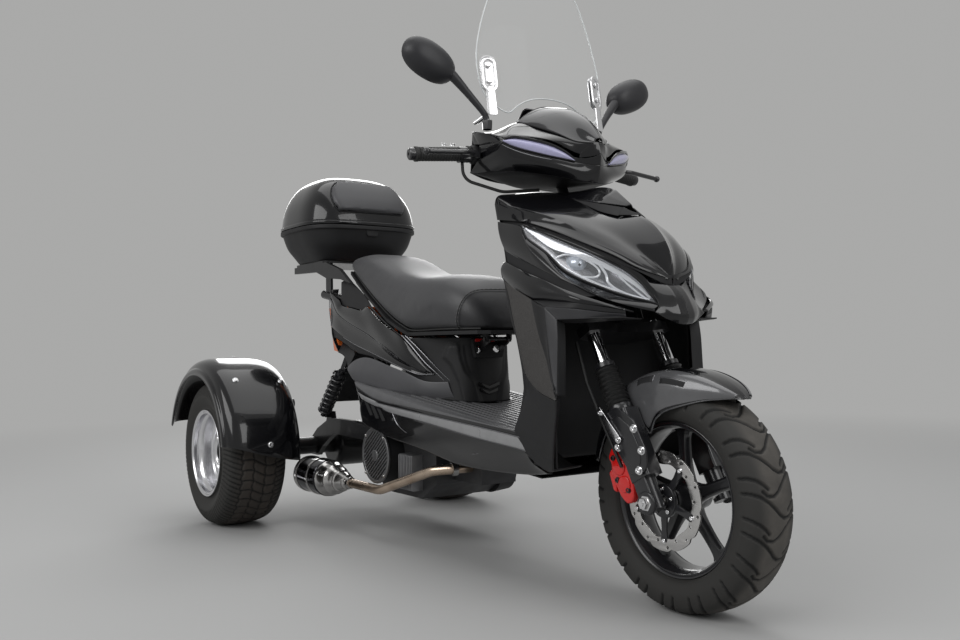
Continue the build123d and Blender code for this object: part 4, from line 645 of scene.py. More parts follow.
# headlights: a clear cover over a stepped silver bowl
lens_mid = between(lens_top, lens_low, 0.5, 3.0)
lens = panel("lamp_covers", [lens_top, lens_mid, lens_low], clear, nu=60, nv=12, thickness=0.0025)
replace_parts(lens, "headlights")
inner_top, inner_low = shift(lens_top, -4, -5, -3), shift(lens_low, -4, -5, 3)
deep = [(1352, -190, 852), (1392, -172, 832), (1440, -150, 800), (1490, -120, 765), (1540, -92, 724),
        (1590, -60, 686), (1618, -46, 664)]
panel("lamp_bowls", [inner_top, deep, inner_low], reflector, nu=60, nv=16, thickness=0.002, across=[1],
      outside=(1300, -60, 700))
rim_run = [(p, 2.4) for p in (between(lens_top, lens_low, 0.0), between(lens_top, lens_low, 1.0))]
tubes("lamp_rims", rim_run, dark, mirror=True, samples=50, sides=6)


def on_lens(u, v, depth=6.0):
    """Point of the lamp, u along it and v down it, depth millimetres behind the cover."""
    a, b = natural(lens_top, 61)[int(u * 60)], natural(lens_low, 61)[int(u * 60)]
    return (a[0] + (b[0] - a[0]) * v - depth, a[1] + (b[1] - a[1]) * v + depth, a[2] + (b[2] - a[2]) * v)


panel("lamp_wing", [[on_lens(0.02, 0.1, 4), on_lens(0.22, 0.12, 7), on_lens(0.45, 0.1, 9), on_lens(0.7, 0.12, 9),
                     on_lens(0.93, 0.2, 5)],
                    [on_lens(0.02, 0.6, 4), on_lens(0.25, 0.6, 7), on_lens(0.42, 0.32, 9), on_lens(0.7, 0.3, 9),
                     on_lens(0.93, 0.6, 5)]], bright_white, nu=40, nv=5, thickness=0.002)
loops = [
    ([on_lens(0.30, 0.86, 8), on_lens(0.36, 0.42, 10), on_lens(0.46, 0.30, 12), on_lens(0.55, 0.42, 12),
      on_lens(0.58, 0.72, 10), on_lens(0.50, 0.92, 8)], 2.6),
    ([on_lens(0.54, 0.26, 10), on_lens(0.60, 0.48, 10), on_lens(0.66, 0.72, 9), on_lens(0.76, 0.86, 7),
      on_lens(0.88, 0.88, 5)], 3.0),
    ([on_lens(0.28, 0.9, 6), on_lens(0.4, 0.9, 7), on_lens(0.55, 0.9, 7), on_lens(0.7, 0.9, 7),
      on_lens(0.9, 0.9, 5)], 2.4),
    ([on_lens(0.66, 0.30, 9), on_lens(0.76, 0.44, 9), on_lens(0.86, 0.62, 7), on_lens(0.93, 0.75, 5)], 2.2)]
tubes("lamp_bars", loops, bright_white, mirror=True, samples=26, sides=8)
bulb_profile = [(3, 26), (10, 24), (17, 18), (23, 8), (26, 0), (27, -6)]
lathe("lamp_projectors", [(P(*[c * s for c, s in zip(on_lens(0.44, 0.58, 24), (1, k, 1))]),
                           (0.86, -0.42 * k, -0.1), bulb_profile) for k in (1, -1)], lamp_glass, sides=40)

# flanks beside the front wheel and the shield under them
flank_rear = [(1258, -207, 745), (1266, -207, 729), (1283, -207, 663), (1302, -207, 615), (1321, -207, 568),
              (1332, -207, 531), (1339, -207, 516)]
edge_front = [(1270, -210, 735), (1285, -211, 700), (1300, -212, 655), (1317, -213, 605), (1333, -213, 558),
              (1348, -213, 522), (1352, -214, 512)]
panel("flank_edge", [flank_rear, edge_front], matte, nu=40, nv=5)
carbon_front = [(1408, -236, 681), (1422, -236, 635), (1439, -236, 590), (1460, -236, 546), (1476, -237, 502),
                (1490, -237, 476), (1493, -237, 459)]
carbon_rear = [(1272, -211, 733), (1287, -211, 700), (1302, -212, 655), (1319, -213, 605), (1334, -213, 558),
               (1349, -214, 522), (1370, -218, 500), (1420, -226, 474), (1490, -237, 457)]
flank = panel("flank_grain", [carbon_rear, between(carbon_rear, carbon_front, 0.5, 2), carbon_front], carbon,
              nu=44, nv=10, corners=[5])
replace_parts(flank, "flank_panels")
grey_outer = [(1454, -235, 663), (1460, -235, 620), (1466, -235, 579), (1479, -236, 513), (1492, -236, 474)]
grey_inner = [(1484, -224, 634), (1488, -226, 600), (1489, -228, 560), (1490, -231, 502), (1493, -234, 470)]
panel("flank_frame", [carbon_front, between(carbon_front, grey_outer, 0.5, 3), grey_outer], matte, nu=40, nv=8)
panel("flank_band", [grey_outer, grey_inner], flank_grey, nu=30, nv=5)
panel("arch_frame", [lip_low[3:], [(1454, -235, 664), (1495, -224, 660), (1543, -205, 655), (1574, -165, 648),
                                   (1600, -127, 644)]], matte, nu=30, nv=5)
panel("arch_band", [[(1454, -235, 663), (1495, -224, 659), (1543, -205, 654), (1574, -165, 647),
                     (1600, -127, 643)], [(1484, -224, 634), (1510, -214, 634), (1545, -200, 634),
                                          (1572, -162, 634), (1598, -124, 634)]], flank_grey, nu=30, nv=5)
panel("arch_return", [[(1484, -224, 634), (1488, -226, 600), (1489, -228, 560), (1490, -231, 502),
                       (1493, -234, 468)], [(1478, -196, 626), (1481, -197, 600), (1482, -198, 560),
                                            (1484, -200, 502), (1486, -202, 465)]], matte, nu=30, nv=5)
panel("arch_roof", [[(1484, -224, 634), (1510, -214, 634), (1545, -200, 634), (1576, -178, 634),
                     (1608, -150, 634)], [(1478, -196, 626), (1500, -170, 626), (1530, -140, 628),
                                          (1560, -110, 630), (1590, -70, 632)]], matte, nu=30, nv=5)


# ---------------------------------------------------------------- wheels
def band_material(name, centre_y, reach, dust):
    """Tyre rubber: dusty where it meets the road, dark in the grooves and on the walls."""
    mat, tree, bsdf = node_material(name)
    fill(tree, bsdf, {"Roughness": 0.72, "Specular IOR Level": 0.35})
    place = add_node(tree, "TexCoord", {}).outputs["Object"]
    across = add_node(tree, "SeparateXYZ", {0: place}).outputs["Y"]
    away = add_node(tree, "Math", {0: across, 1: centre_y}, operation="SUBTRACT")
    size = add_node(tree, "Math", {0: away.outputs[0]}, operation="ABSOLUTE")
    band = add_node(tree, "MapRange", {"Value": size.outputs[0], "From Min": reach, "From Max": reach * 0.45},
                    interpolation_type="SMOOTHSTEP")
    groove = add_node(tree, "Attribute", {}, attribute_name="groove")
    flat = add_node(tree, "Math", {0: 1.0, 1: groove.outputs["Fac"]}, operation="SUBTRACT").outputs[0]
    dusty = add_node(tree, "Math", {0: flat, 1: band.outputs["Result"]}, operation="MULTIPLY")
    worn = add_node(tree, "MapRange", {"Value": noise_fac(tree, place, 26, 8), "From Min": 0.25, "From Max": 0.7,
                                       "To Min": 0.35})
    amount = add_node(tree, "Math", {0: dusty.outputs[0], 1: worn.outputs["Result"]}, operation="MULTIPLY")
    base = add_node(tree, "Mix", {}, data_type="RGBA")
    fill(tree, base, {0: flat, 6: (0.012, 0.012, 0.012, 1), 7: (0.034, 0.033, 0.031, 1)})
    final = add_node(tree, "Mix", {}, data_type="RGBA")
    fill(tree, final, {0: amount.outputs[0], 6: base.outputs[2], 7: (*dust, 1)})
    fill(tree, bsdf, {"Base Color": final.outputs[2]})
    add_bump(tree, bsdf, noise_fac(tree, place, 420), 0.35, 0.0006)
    return mat


def near_lines(u, v, lines, period):
    """Distance from each point to the nearest of the lines, which repeat along u."""
    best = np.full(np.shape(u), 1e9)
    for line in lines:
        for start, end in zip(line, line[1:]):
            a, d = np.array(start, float), np.array(end, float) - np.array(start, float)
            for move in (-period, 0, period):
                pu, pv = u - a[0] - move, v - a[1]
                t = np.clip((pu * d[0] + pv * d[1]) / (d @ d), 0, 1)
                best = np.minimum(best, np.hypot(pu - t * d[0], pv - t * d[1]))
    return best


def tyre(name, node, centre, radius, half, flange, bead_half, around, across, depth, tread, body, mat):
    """Tyre in millimetres, half wide each way from its middle, with a tread cut depth deep on a grid."""
    wall = radius - flange
    side = [(bead_half, flange), (half * 0.86, flange + wall * 0.1), (half * 0.985, flange + wall * 0.38),
            (half * 0.97, flange + wall * 0.62), (half * 0.86, flange + wall * 0.82),
            (half * 0.62, flange + wall * 0.935), (half * 0.32, flange + wall * 0.985)]
    curve = natural([(-a, r) for a, r in side] + [(0, radius)] + side[::-1], 400)
    step = np.r_[0, np.cumsum(np.linalg.norm(np.diff(curve, axis=0), axis=1))]
    grip = half * (1.32 if half < 70 else 1.22)
    middle = step[-1] / 2
    where = np.r_[np.linspace(-middle, -grip, 14), np.linspace(-grip, grip, across)[1:-1],
                  np.linspace(grip, middle, 14)]
    a = np.interp(where + middle, step, curve[:, 0])
    r = np.minimum(np.interp(where + middle, step, curve[:, 1]), radius)
    da, dr = np.gradient(a), np.gradient(r)
    size = np.hypot(da, dr)
    na, nr = -dr / size, da / size
    angle = np.arange(around) * 2 * math.pi / around
    u, v = np.meshgrid(angle * radius, where, indexing="ij")
    mark = np.where(np.abs(v) < grip + 1, tread(u, v), 0)
    rings = 0.7 * np.exp(-((np.abs(v) - grip - 9) / 1.6) ** 2) + 0.7 * np.exp(-((np.abs(v) - middle + 12) / 1.8) ** 2)
    drop = depth * mark - rings
    ra = a[None, :] - na[None, :] * drop
    rr = r[None, :] - np.abs(nr)[None, :] * drop
    rr = np.minimum(rr, radius)
    ra = np.clip(ra, -half, half)
    verts = np.stack([centre.x + rr / 1000 * np.cos(angle)[:, None], centre.y + ra / 1000,
                      centre.z + rr / 1000 * np.sin(angle)[:, None]], -1).reshape(-1, 3)
    n = len(where)
    faces = [(i * n + j, i * n + j + 1, ((i + 1) % around) * n + j + 1, ((i + 1) % around) * n + j)
             for i in range(around) for j in range(n - 1)]
    obj = make(name, verts, faces, mat, body)
    data = obj.data.attributes.new("groove", "FLOAT", "POINT")
    data.data.foreach_set("value", mark.reshape(-1).astype(np.float32))
    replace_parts(obj, node)
    return obj


# seventeen groove pairs round the front tyre
front_pitch = 2 * math.pi * FRONT_RADIUS / 17


def front_tread(u, v):
    """Long curved grooves from the shoulders to the middle, and short ones between them."""
    u = np.mod(u, front_pitch)
    long = [(0, 86), (-4, 66), (-12, 46), (-24, 28), (-38, 12), (-50, 0), (-58, -14), (-56, -30), (-46, -40)]
    short = [(34, 86), (30, 68), (22, 50), (12, 36), (2, 26)]
    lines = []
    for side, move in ((1, 0), (-1, front_pitch / 2)):
        for line in (long, short):
            lines.append([((p + move), q * side) for p, q in line])
    lines = [[(p + k, q) for p, q in line] for line in lines for k in (0, front_pitch)]
    return np.clip((4.3 - near_lines(u, v, lines, front_pitch)) / 1.8, 0, 1)


def rear_tread(u, v):
    """Rows of blocks with wavy cross grooves and open shoulders."""
    side = np.abs(v)
    pitch = 2 * math.pi * REAR_RADIUS / 44
    wave = u + 7 * np.sin(v / 17) + 0.16 * v
    centre = np.abs(np.mod(wave, pitch) - pitch / 2)
    shoulder = np.abs(np.mod(u - 0.30 * side + pitch * 0.4, pitch * 0.5) - pitch * 0.25)
    rows = np.minimum(np.abs(side - 19 - 2.5 * np.sin(u * 2 * math.pi / pitch)),
                      np.abs(side - 56 - 2.5 * np.sin(u * 2 * math.pi / pitch + 1.5)))
    gap = np.where(side < 56, centre, shoulder + 0.3)
    return np.clip((3.4 - np.minimum(gap, rows + 0.6)) / 1.8, 0, 1)


front_hub = P(WB, 0, FRONT_RADIUS)
tyre("front_tread", "front_tyre", front_hub, FRONT_RADIUS, half=65, flange=167.8, bead_half=41.7, around=600,
     across=76, depth=4.5, tread=front_tread, body="front_wheel",
     mat=band_material("front_rubber", 0.0, 0.052, (0.095, 0.087, 0.078)))
for side, hand in ((-1, "right"), (1, "left")):
    hub = P(0, side * HALF_TRACK, REAR_RADIUS)
    tyre(f"rear_tread_{hand}", f"rear_tyre_{hand}", hub, REAR_RADIUS, half=102.5, flange=142.3, bead_half=92.7,
         around=470, across=80, depth=5.5, tread=rear_tread, body=f"rear_wheel_{hand}",
         mat=band_material(f"rear_rubber_{hand}", hub.y, 0.085, (0.055, 0.045, 0.038)))
    dish = [(142, 97), (141, 97.8), (137, 97), (133, 92), (130.5, 86), (129, 78), (122, 72), (120.5, 70), (119, 58),
            (117, 44), (116, 38), (110, 33), (108, 26), (104, 21), (94, 18), (70, 24), (58, 28), (50, 29), (44, 29),
            (42, 36), (40, 40), (36, 41)]
    back = [(108, 14), (122, 6), (124, -40), (124.5, -86), (129, -92), (137, -97), (142, -97.5), (142, -93)]
    rim = [(hub, (0, side, 0), dish), (hub, (0, side, 0), [(104, 16), (60, 14), (38, 12)] ),
           (hub, (0, side, 0), back + [(130, -93), (130, 93), (142, 93), (142, 97)])]
    rim = lathe(f"rear_wheel_{hand}_alloy", rim, alloy, f"rear_wheel_{hand}", 96, 30)
    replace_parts(rim, f"rear_rim_{hand}")
    lathe(f"rear_cap_{hand}", [(hub, (0, side, 0), [(37, 38), (36, 44), (33, 47), (20, 50), (18, 50), (17, 46),
                                                    (8, 45), (0.1, 45)])], matte, f"rear_wheel_{hand}", 48)
    nuts = [(spot, (0, side, 0), [(12, -2), (12, 2), (9.5, 3), (9, 14), (7, 17), (2, 19), (0.1, 19)])
            for spot in bolt_circle(hub, 0.057, 0.028 * side, 45, 4)]
    places = []
    for t in [math.radians(22.5 + 45 * k) for k in range(8)]:
        spot = hub + Vector((0.088 * math.cos(t), 0.0215 * side, 0.088 * math.sin(t)))
        places.append((spot, (0.12 * math.cos(t), side, 0.12 * math.sin(t))))
    nuts += [(spot, axis, [(10.5, 0), (9.5, 1.2), (8.4, 0.8), (7.8, -1)]) for spot, axis in places]
    lathe(f"rear_nuts_{hand}", nuts, chrome, f"rear_wheel_{hand}", 12)
    holes = [(spot, axis, [(8.4, 0.3), (4, -0.4), (0.1, -0.6)]) for spot, axis in places]
    lathe(f"rear_holes_{hand}", holes, dark, f"rear_wheel_{hand}", 16)

# front wheel: barrel, hub and five ribbed spokes
barrel = [(167.5, 45.5), (166.5, 46), (163, 45), (160, 41), (157, 36), (153.5, 30), (151, 26), (149.5, 12), (149, 0)]
shape = barrel + [(r, -a) for r, a in reversed(barrel[:-1])]
skin = [(167.5, -45.5), (167.5, -42), (158, -42), (158, 42), (167.5, 42), (167.5, 45.5)]
hub_half = [(15, 51.5), (23, 51.5), (26, 48), (27, 40), (31, 30), (34, 14)]
hub_profile = hub_half + [(r, -a) for r, a in reversed(hub_half)]
wheel = [lathe("barrel", [(front_hub, (0, 1, 0), shape), (front_hub, (0, 1, 0), skin),
                          (front_hub, (0, 1, 0), hub_profile)], black_alloy, "front_wheel", 120)]
spoke_spine = ((28, 22, 22, 0), (44, 17, 18, 1), (70, 14.5, 14, 3), (100, 13.5, 12.5, 5), (128, 15, 12, 7),
               (143, 21, 13, 8), (152, 31, 15, 8))
spoke_outline = ((-1, 0.35), (-0.62, 0.82), (-0.30, 1.0), (-0.16, 0.72), (0.16, 0.72), (0.30, 1.0), (0.62, 0.82),
                 (1, 0.35), (1, -0.35), (0.6, -0.95), (0, -0.8), (-0.6, -0.95), (-1, -0.35))
steps = 26
verts, faces = [], []
for k in range(5):
    turn = math.radians(18 + 72 * k)
    along = Vector((math.cos(turn), 0, math.sin(turn)))
    cross = Vector((-math.sin(turn), 0, math.cos(turn)))
    rows = [[front_hub + (along * r + cross * (c * width + lean) + Vector((0, y * thick, 0))) / 1000
             for c, y in spoke_outline] for r, width, thick, lean in spoke_spine]
    smooth = [natural(column, steps) for column in zip(*rows)]
    faces += sheet_faces(steps, len(smooth), len(verts), ring=True)
    verts += [Vector(column[i]) for i in range(steps) for column in smooth]
wheel.append(make("spokes", verts, faces, black_alloy, angle=50))
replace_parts(join("front_wheel_alloy", wheel, black_alloy, "front_wheel"), "front_rim")

# wave brake disc and its carrier
disc_place = axes((WB, -73, FRONT_RADIUS), (1, 0, 0), (0, 0, 1))
around = [2 * math.pi * k / 240 for k in range(240)]
waves = [106.5 - 5.0 * max(0, 1 - abs((t * 10 / (2 * math.pi)) % 1 - 0.82) / 0.18) ** 1.4 for t in around]
loops = [[(r * math.cos(t), r * math.sin(t)) for t, r in zip(around, waves)],
         [(r * math.cos(t), r * math.sin(t)) for t, r in [(t, 79.5 + 1.6 * math.cos(10 * t)) for t in around]]]
for k in range(20):
    t = 2 * math.pi * (k + 0.3) / 20
    r = 98 if k % 2 else 87
    loops.append(circle(r * math.cos(t), r * math.sin(t), 3.3, 14))
disc = plates("wave_disc", [(loops, disc_place, 4.0, 0.4)], steel, "front_wheel")
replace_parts(disc, "brake_disc")
arm = rounded([(30, -9), (62, -7), (82, -10), (88, -6), (88, 6), (82, 10), (62, 7), (30, 9)], 4)
arms = [([turned(arm, math.radians(54 + 72 * k))], disc_place, 5.0, 0.8) for k in range(5)]
arms.append(([circle(0, 0, 36, 60), circle(0, 0, 13, 30)], disc_place, 9.0, 1.2))
plates("disc_carrier", arms, black_alloy, "front_wheel")
spots = bolt_circle(front_hub, 0.084, -0.0755, 54, 5) + bolt_circle(front_hub, 0.026, -0.0775, 18, 5)
bolts("disc_bolts", [(spot, (0, -1, 0)) for spot in spots], chrome, "front_wheel", 5.0, 3.0)


# ---------------------------------------------------------------- rear fenders
FENDER_ROWS, FENDER_COLS = 73, 44


def rear_fender(side):
    """Points of one fender: its section, turned about the axle from its rear end to its front end."""
    section = [(-54, 554), (-46, 554.5), (-37, 552), (-33, 546), (-28, 543), (-16, 536), (-6, 519), (-1, 493),
               (0, 455), (0, 400), (-3, 356), (-11, 326), (-24, 308), (-44, 302.5), (-70, 302.5)]
    row = natural([(312 + a, y) for a, y in section], FENDER_COLS)
    verts = []
    for s in [i / (FENDER_ROWS - 1) for i in range(FENDER_ROWS)]:
        for r, y in row:
            inward = min(1, max(0, (554 - y) / 250))
            end = math.radians(9 * (1 - inward) ** 1.5)
            turn = math.radians(163) * (1 - s) + end * s
            low = 14 * inward * max(0, (s - 0.94) / 0.06)
            verts.append(P(r * math.cos(turn), side * y, REAR_RADIUS + r * math.sin(turn) - low))
    return verts


faces = sheet_faces(FENDER_ROWS, FENDER_COLS) + sheet_faces(FENDER_ROWS, FENDER_COLS, FENDER_ROWS * FENDER_COLS)
fender = shell("fender_shells", rear_fender(-1) + rear_fender(1), faces, gloss, (0, -430, 240), bevel=0.0008)
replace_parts(fender, "rear_fenders")
verts, faces = [], []
for side in (-1, 1):
    v, f = tube_mesh([P(259 * math.cos(t), side * 552.5, REAR_RADIUS + 259 * math.sin(t))
                      for t in np.radians(np.linspace(162, 10, 60))], 0.0028, 8)
    faces += [tuple(len(verts) + i for i in q) for q in f]
    verts += v
make("fender_rolled_edge", verts, faces, gloss, "chassis")
spots = []
for turn, y in ((51, 486), (49, 339), (8, 415), (92, 420), (128, 486), (128, 345), (150, 415)):
    t = math.radians(turn)
    for side in (-1, 1):
        spots.append((P(312.5 * math.cos(t), side * y, REAR_RADIUS + 312.5 * math.sin(t)),
                      (math.cos(t), 0, math.sin(t))))
bolts("fender_bolts", spots, chrome, "chassis", 7.5, 4.5)


# ---------------------------------------------------------------- side panels and seat base
swoosh_top = [(136, -123, 778), (160, -131, 768), (237, -141, 735), (264, -144, 718), (345, -147, 706),
              (407, -147, 698), (437, -145, 708), (500, -151, 679), (605, -158, 635), (693, -164, 604),
              (766, -144, 540), (803, -127, 507)]
letter_top = [(138, -125, 768), (190, -142, 730), (253, -150, 685), (394, -157, 641), (512, -163, 606),
              (678, -170, 549), (766, -144, 511), (803, -127, 504)]
silver_low = [(180, -148, 655), (235, -156, 638), (309, -162, 614), (399, -166, 590), (484, -169, 571),
              (594, -173, 546), (714, -162, 513), (765, -144, 500), (807, -125, 501)]
panel("swoosh_panel", [swoosh_top, between(swoosh_top, letter_top, 0.5, 5), letter_top], gloss, nu=60, nv=10,
      outside=SIDE_MIDDLE)
band_top = [(150, -136, 750), (190, -143, 727), (253, -149, 683), (394, -156, 639), (512, -162, 604),
            (678, -169, 547), (766, -143, 509), (803, -126, 502)]
panel("swoosh_band", [band_top, between(band_top, silver_low, 0.5, -3), silver_low], gloss, nu=60, nv=8,
      outside=SIDE_MIDDLE)
lowtop = [(366, -178, 519), (412, -178, 539), (500, -178, 549), (626, -180, 528), (725, -165, 503), (785, -143, 482),
          (849, -106, 480)]
lowbot = [(392, -184, 497), (440, -190, 476), (530, -190, 466), (640, -184, 453), (735, -160, 441),
          (800, -134, 433), (868, -90, 425)]
channel_low = [(190, -146, 610), (250, -152, 600), (340, -160, 575), (420, -168, 556), (500, -170, 547),
               (626, -174, 526), (725, -157, 501), (785, -135, 481), (845, -101, 481)]
panel("side_channel", [shift(silver_low, 0, -4, 0), shift(channel_low, 0, -4, 6)], matte, nu=50, nv=5,
      outside=(450, 0, 560))
low_mid = between(lowtop, lowbot, 0.5, 4)
low = panel("side_lower_panel", [lowtop, low_mid, lowbot], grey_trim, nu=60, nv=12, outside=(600, 0, 480),
            angle=20)
shoulder = [(237, -138, 735), (264, -141, 718), (345, -144, 706), (407, -144, 698), (437, -142, 708),
            (500, -148, 679), (605, -155, 635), (693, -161, 604)]
inner_edge = [(215, -124, 800), (262, -124, 806), (325, -126, 782), (395, -128, 744), (440, -134, 717),
              (500, -142, 686), (600, -150, 641), (690, -156, 609)]
panel("under_seat_edge", [shift(shoulder, 0, -2, 2), inner_edge], matte, nu=50, nv=4, outside=(450, 0, 600))
rear_wrap = [(136, -121, 780), (150, -134, 742), (182, -147, 655), (192, -146, 610), (240, -150, 566)]
rear_inner = [(138, -96, 782), (150, -104, 742), (178, -108, 655), (190, -108, 610), (236, -112, 566)]
panel("side_rear_edge", [rear_wrap, rear_inner], gloss, nu=30, nv=5, outside=SIDE_MIDDLE)
low_rear = [(240, -150, 566), (300, -158, 552), (366, -174, 520)]
low_rear2 = [(205, -112, 606), (300, -130, 588), (380, -160, 560)]
panel("side_rear_under", [low_rear2, low_rear], matte, nu=20, nv=4, outside=SIDE_MIDDLE)
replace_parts(low, "side_panels")
# Grey metal for thin lines along panel edges and creases: painted highlights where the edges catch the light
edge_highlight_mat = material("painted_edge_highlight", (0.20, 0.20, 0.21), 0.22, 0.8, rough_var=0.05)
seam_a = [(692, -163, 613), (736, -156, 581), (776, -141, 539), (807, -126, 511), (835, -109, 483)]
seam_b = [(711, -162, 612), (767, -144, 567), (807, -125, 527), (849, -99, 483)]
# Thin bright lines on the side panel's edges and seams: painted highlights
tubes("side_edge_lines", [(shift(silver_low[2:], dy=1), [1.2, 2.0, 2.0, 1.6]),
                          (shift(seam_a, dy=1), [2.2, 1.8, 1.2]),
                          (shift(seam_b, dy=1), [1.6, 1.2]),
                          (shift(letter_top[:6], dy=1), [0.9, 0.9]),
                          ([(150, -137, 748), (168, -145, 700), (190, -149, 652)], 1.2)],
      edge_highlight_mat, mirror=True, samples=40, sides=6)
panel("seam_channel", [shift(seam_a, dy=-3), shift(seam_b, dy=-3)], dark, nu=30, nv=3, outside=(600, 0, 560))

plan_high = [(700, 157), (745, 144), (790, 128), (830, 107), (860, 86), (880, 65), (890, 44), (894, 22), (895, 0)]
plan_low = [(700, 156), (745, 146), (795, 132), (838, 113), (868, 94), (888, 74), (899, 50), (903, 26), (904, 0)]


def ramp(v):
    """Climbs from 0 to 1 as v goes from 0 to 5."""
    return min(1, max(0, v / 5))


def base_relief(y, z):
    """How far the seat base stands out at this half width and height: a rib each side and a sunk middle."""
    rib_out = np.interp(z, [425, 482, 527, 548, 572, 606], [80, 86, 98, 109, 104, 92])
    rib_in = np.interp(z, [425, 481, 510, 539, 560, 606], [30, 44, 66, 73, 76, 78])
    rib = ramp(rib_out - y) * ramp(y - rib_in)
    fade = ramp((592 - z) / 3)
    return 5.5 * rib * fade - 3.0 * ramp(rib_in - 4 - y) * fade


BASE_TOP, BASE_FOOT, BASE_TURN = 605, 428, 560
rows = []
for z in np.linspace(BASE_TOP, BASE_FOOT, 46):
    t = min(1, max(0, (BASE_TURN - z) / (BASE_TURN - BASE_FOOT))) ** 1.5
    plan = [((1 - t) * a[0] + t * b[0], (1 - t) * a[1] + t * b[1]) for a, b in zip(plan_high, plan_low)]
    pts = np.array(both_sides(natural(plan, 60)))
    along = np.gradient(pts, axis=0)
    along /= np.linalg.norm(along, axis=1)[:, None] + 1e-9
    row = []
    for (x, y), (dx, dy) in zip(pts, along):
        out = base_relief(abs(y), z)
        foot = 484 - DECK_FALL * (x - DECK_X) - BASE_FOOT
        row.append(P(x + dy * out, y - dx * out, z + foot * (BASE_TOP - z) / (BASE_TOP - BASE_FOOT) * 0.9))
    rows.append(row)
base_cover = shell("seat_base_shell", *grid(rows), matte, (700, 0, 520), angle=40)
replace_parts(base_cover, "seat_base_cover")
front = axes((899, 0, 0), (0, 1, 0), (0, 0, 1))
chevrons = [([[(-35, 478), (0, 466), (35, 478), (35, 468.5), (0, 456.5), (-35, 468.5)]], front, 3, 0.5),
            ([[(-30, 461), (0, 450), (30, 461), (30, 452), (0, 441), (-30, 452)]], front, 3, 0.5)]
plates("base_chevrons", chevrons, gloss)
box_front = axes((896, 0, 0), (0, 1, 0), (0, 0, 1))
plates("lock_plate", [([rounded([(-54, 600), (54, 600), (57, 585), (46, 546), (-46, 546), (-57, 585)], 5)], box_front,
                       14, 2.5),
                      ([rounded([(-34, 586), (40, 586), (40, 556), (-34, 556)], 6)], box_front, 20, 3)], dark)
plates("lock_bar", [([rounded([(-49, 599.5), (16, 599.5), (16, 591.5), (-49, 591.5)], 1.5)],
                     axes((904, 0, 0), (0, 1, 0), (0, 0, 1)), 3, 0.7)], red)
tubes("seat_hooks", [([(900, -46, 576), (914, -46, 575), (919, -46, 568), (914, -46, 561), (906, -46, 561)], 2.6)],
      chrome, samples=20, sides=8)
lathe("seat_lock", [(P(906, 20, 571), (1, 0, 0), [(11, -2), (11, 1.5), (9.5, 3), (6, 3), (5.5, 2), (0.1, 2)])],
      chrome, sides=32)


# ---------------------------------------------------------------- seat
SEAM_X, SEAM_LEAN = 948, 0.24


def leather(name, color, scale=260, dark_from=None, dark_color=None):
    """Vinyl cover: fine grain, a patchy tone, and a second colour in front of a seam."""
    mat, tree, bsdf = node_material(name)
    fill(tree, bsdf, {"Roughness": 0.42, "Specular IOR Level": 0.5, "Sheen Weight": 0.08})
    place = add_node(tree, "TexCoord", {}).outputs["Object"]
    grain = add_node(tree, "TexVoronoi", {"Vector": place, "Scale": scale * 2.2})
    worn = add_node(tree, "Mix", {}, data_type="RGBA")
    fill(tree, worn, {0: noise_fac(tree, place, 7, 5), 6: (*[c * 0.86 for c in color], 1),
                      7: (*[c * 1.12 for c in color], 1)})
    result = worn.outputs[2]
    if dark_from:
        split = add_node(tree, "SeparateXYZ", {0: place}).outputs
        lean = add_node(tree, "Math", {0: split["Z"], 1: -SEAM_LEAN, 2: split["X"]}, operation="MULTIPLY_ADD")
        step = add_node(tree, "MapRange", {"Value": lean.outputs[0], "From Min": dark_from - 0.0008,
                                           "From Max": dark_from + 0.0008})
        two = add_node(tree, "Mix", {}, data_type="RGBA")
        fill(tree, two, {0: step.outputs["Result"], 6: result, 7: (*dark_color, 1)})
        result = two.outputs[2]
    fill(tree, bsdf, {"Base Color": result})
    add_bump(tree, bsdf, grain.outputs["Distance"], 0.3, 0.0005)
    return mat


def swell(obj, voxel, cap, pressure=4.0, frames=20):
    """Puffs a closed shape up as cloth, with no point moved further than cap."""
    obj.data.update()
    remesh = obj.modifiers.new("remesh", "REMESH")
    remesh.mode, remesh.voxel_size = "VOXEL", voxel
    apply_modifiers(obj)
    start = np.empty(len(obj.data.vertices) * 3)
    obj.data.vertices.foreach_get("co", start)
    cloth = obj.modifiers.new("cloth", "CLOTH")
    cloth.settings.use_pressure = True
    cloth.settings.uniform_pressure_force = pressure
    cloth.settings.effector_weights.gravity = 0
    cloth.settings.quality = 4
    cloth.settings.mass = 0.3
    cloth.settings.tension_stiffness = cloth.settings.compression_stiffness = 25
    cloth.settings.bending_stiffness = 2
    cloth.point_cache.frame_start, cloth.point_cache.frame_end = 1, frames
    for frame_number in range(1, frames + 1):
        scene.frame_set(frame_number)
    depsgraph = bpy.context.evaluated_depsgraph_get()
    moved = np.empty_like(start)
    obj.evaluated_get(depsgraph).data.vertices.foreach_get("co", moved)
    obj.modifiers.remove(cloth)
    scene.frame_set(1)
    move = (moved - start).reshape(-1, 3)
    size = np.linalg.norm(move, axis=1, keepdims=True)
    move *= np.minimum(1, cap / np.maximum(size, 1e-9))
    obj.data.vertices.foreach_set("co", (start.reshape(-1, 3) + move).reshape(-1))
    obj.data.update()
    smooth = obj.modifiers.new("smooth", "SMOOTH")
    smooth.factor, smooth.iterations = 0.5, 4
    apply_modifiers(obj)


def apply_modifiers(obj):
    """Replaces the mesh by what its modifiers make of it."""
    depsgraph = bpy.context.evaluated_depsgraph_get()
    mesh = bpy.data.meshes.new_from_object(obj.evaluated_get(depsgraph))
    old = obj.data
    obj.modifiers.clear()
    obj.data = mesh
    bpy.data.meshes.remove(old)
    for p in mesh.polygons:
        p.use_smooth = True


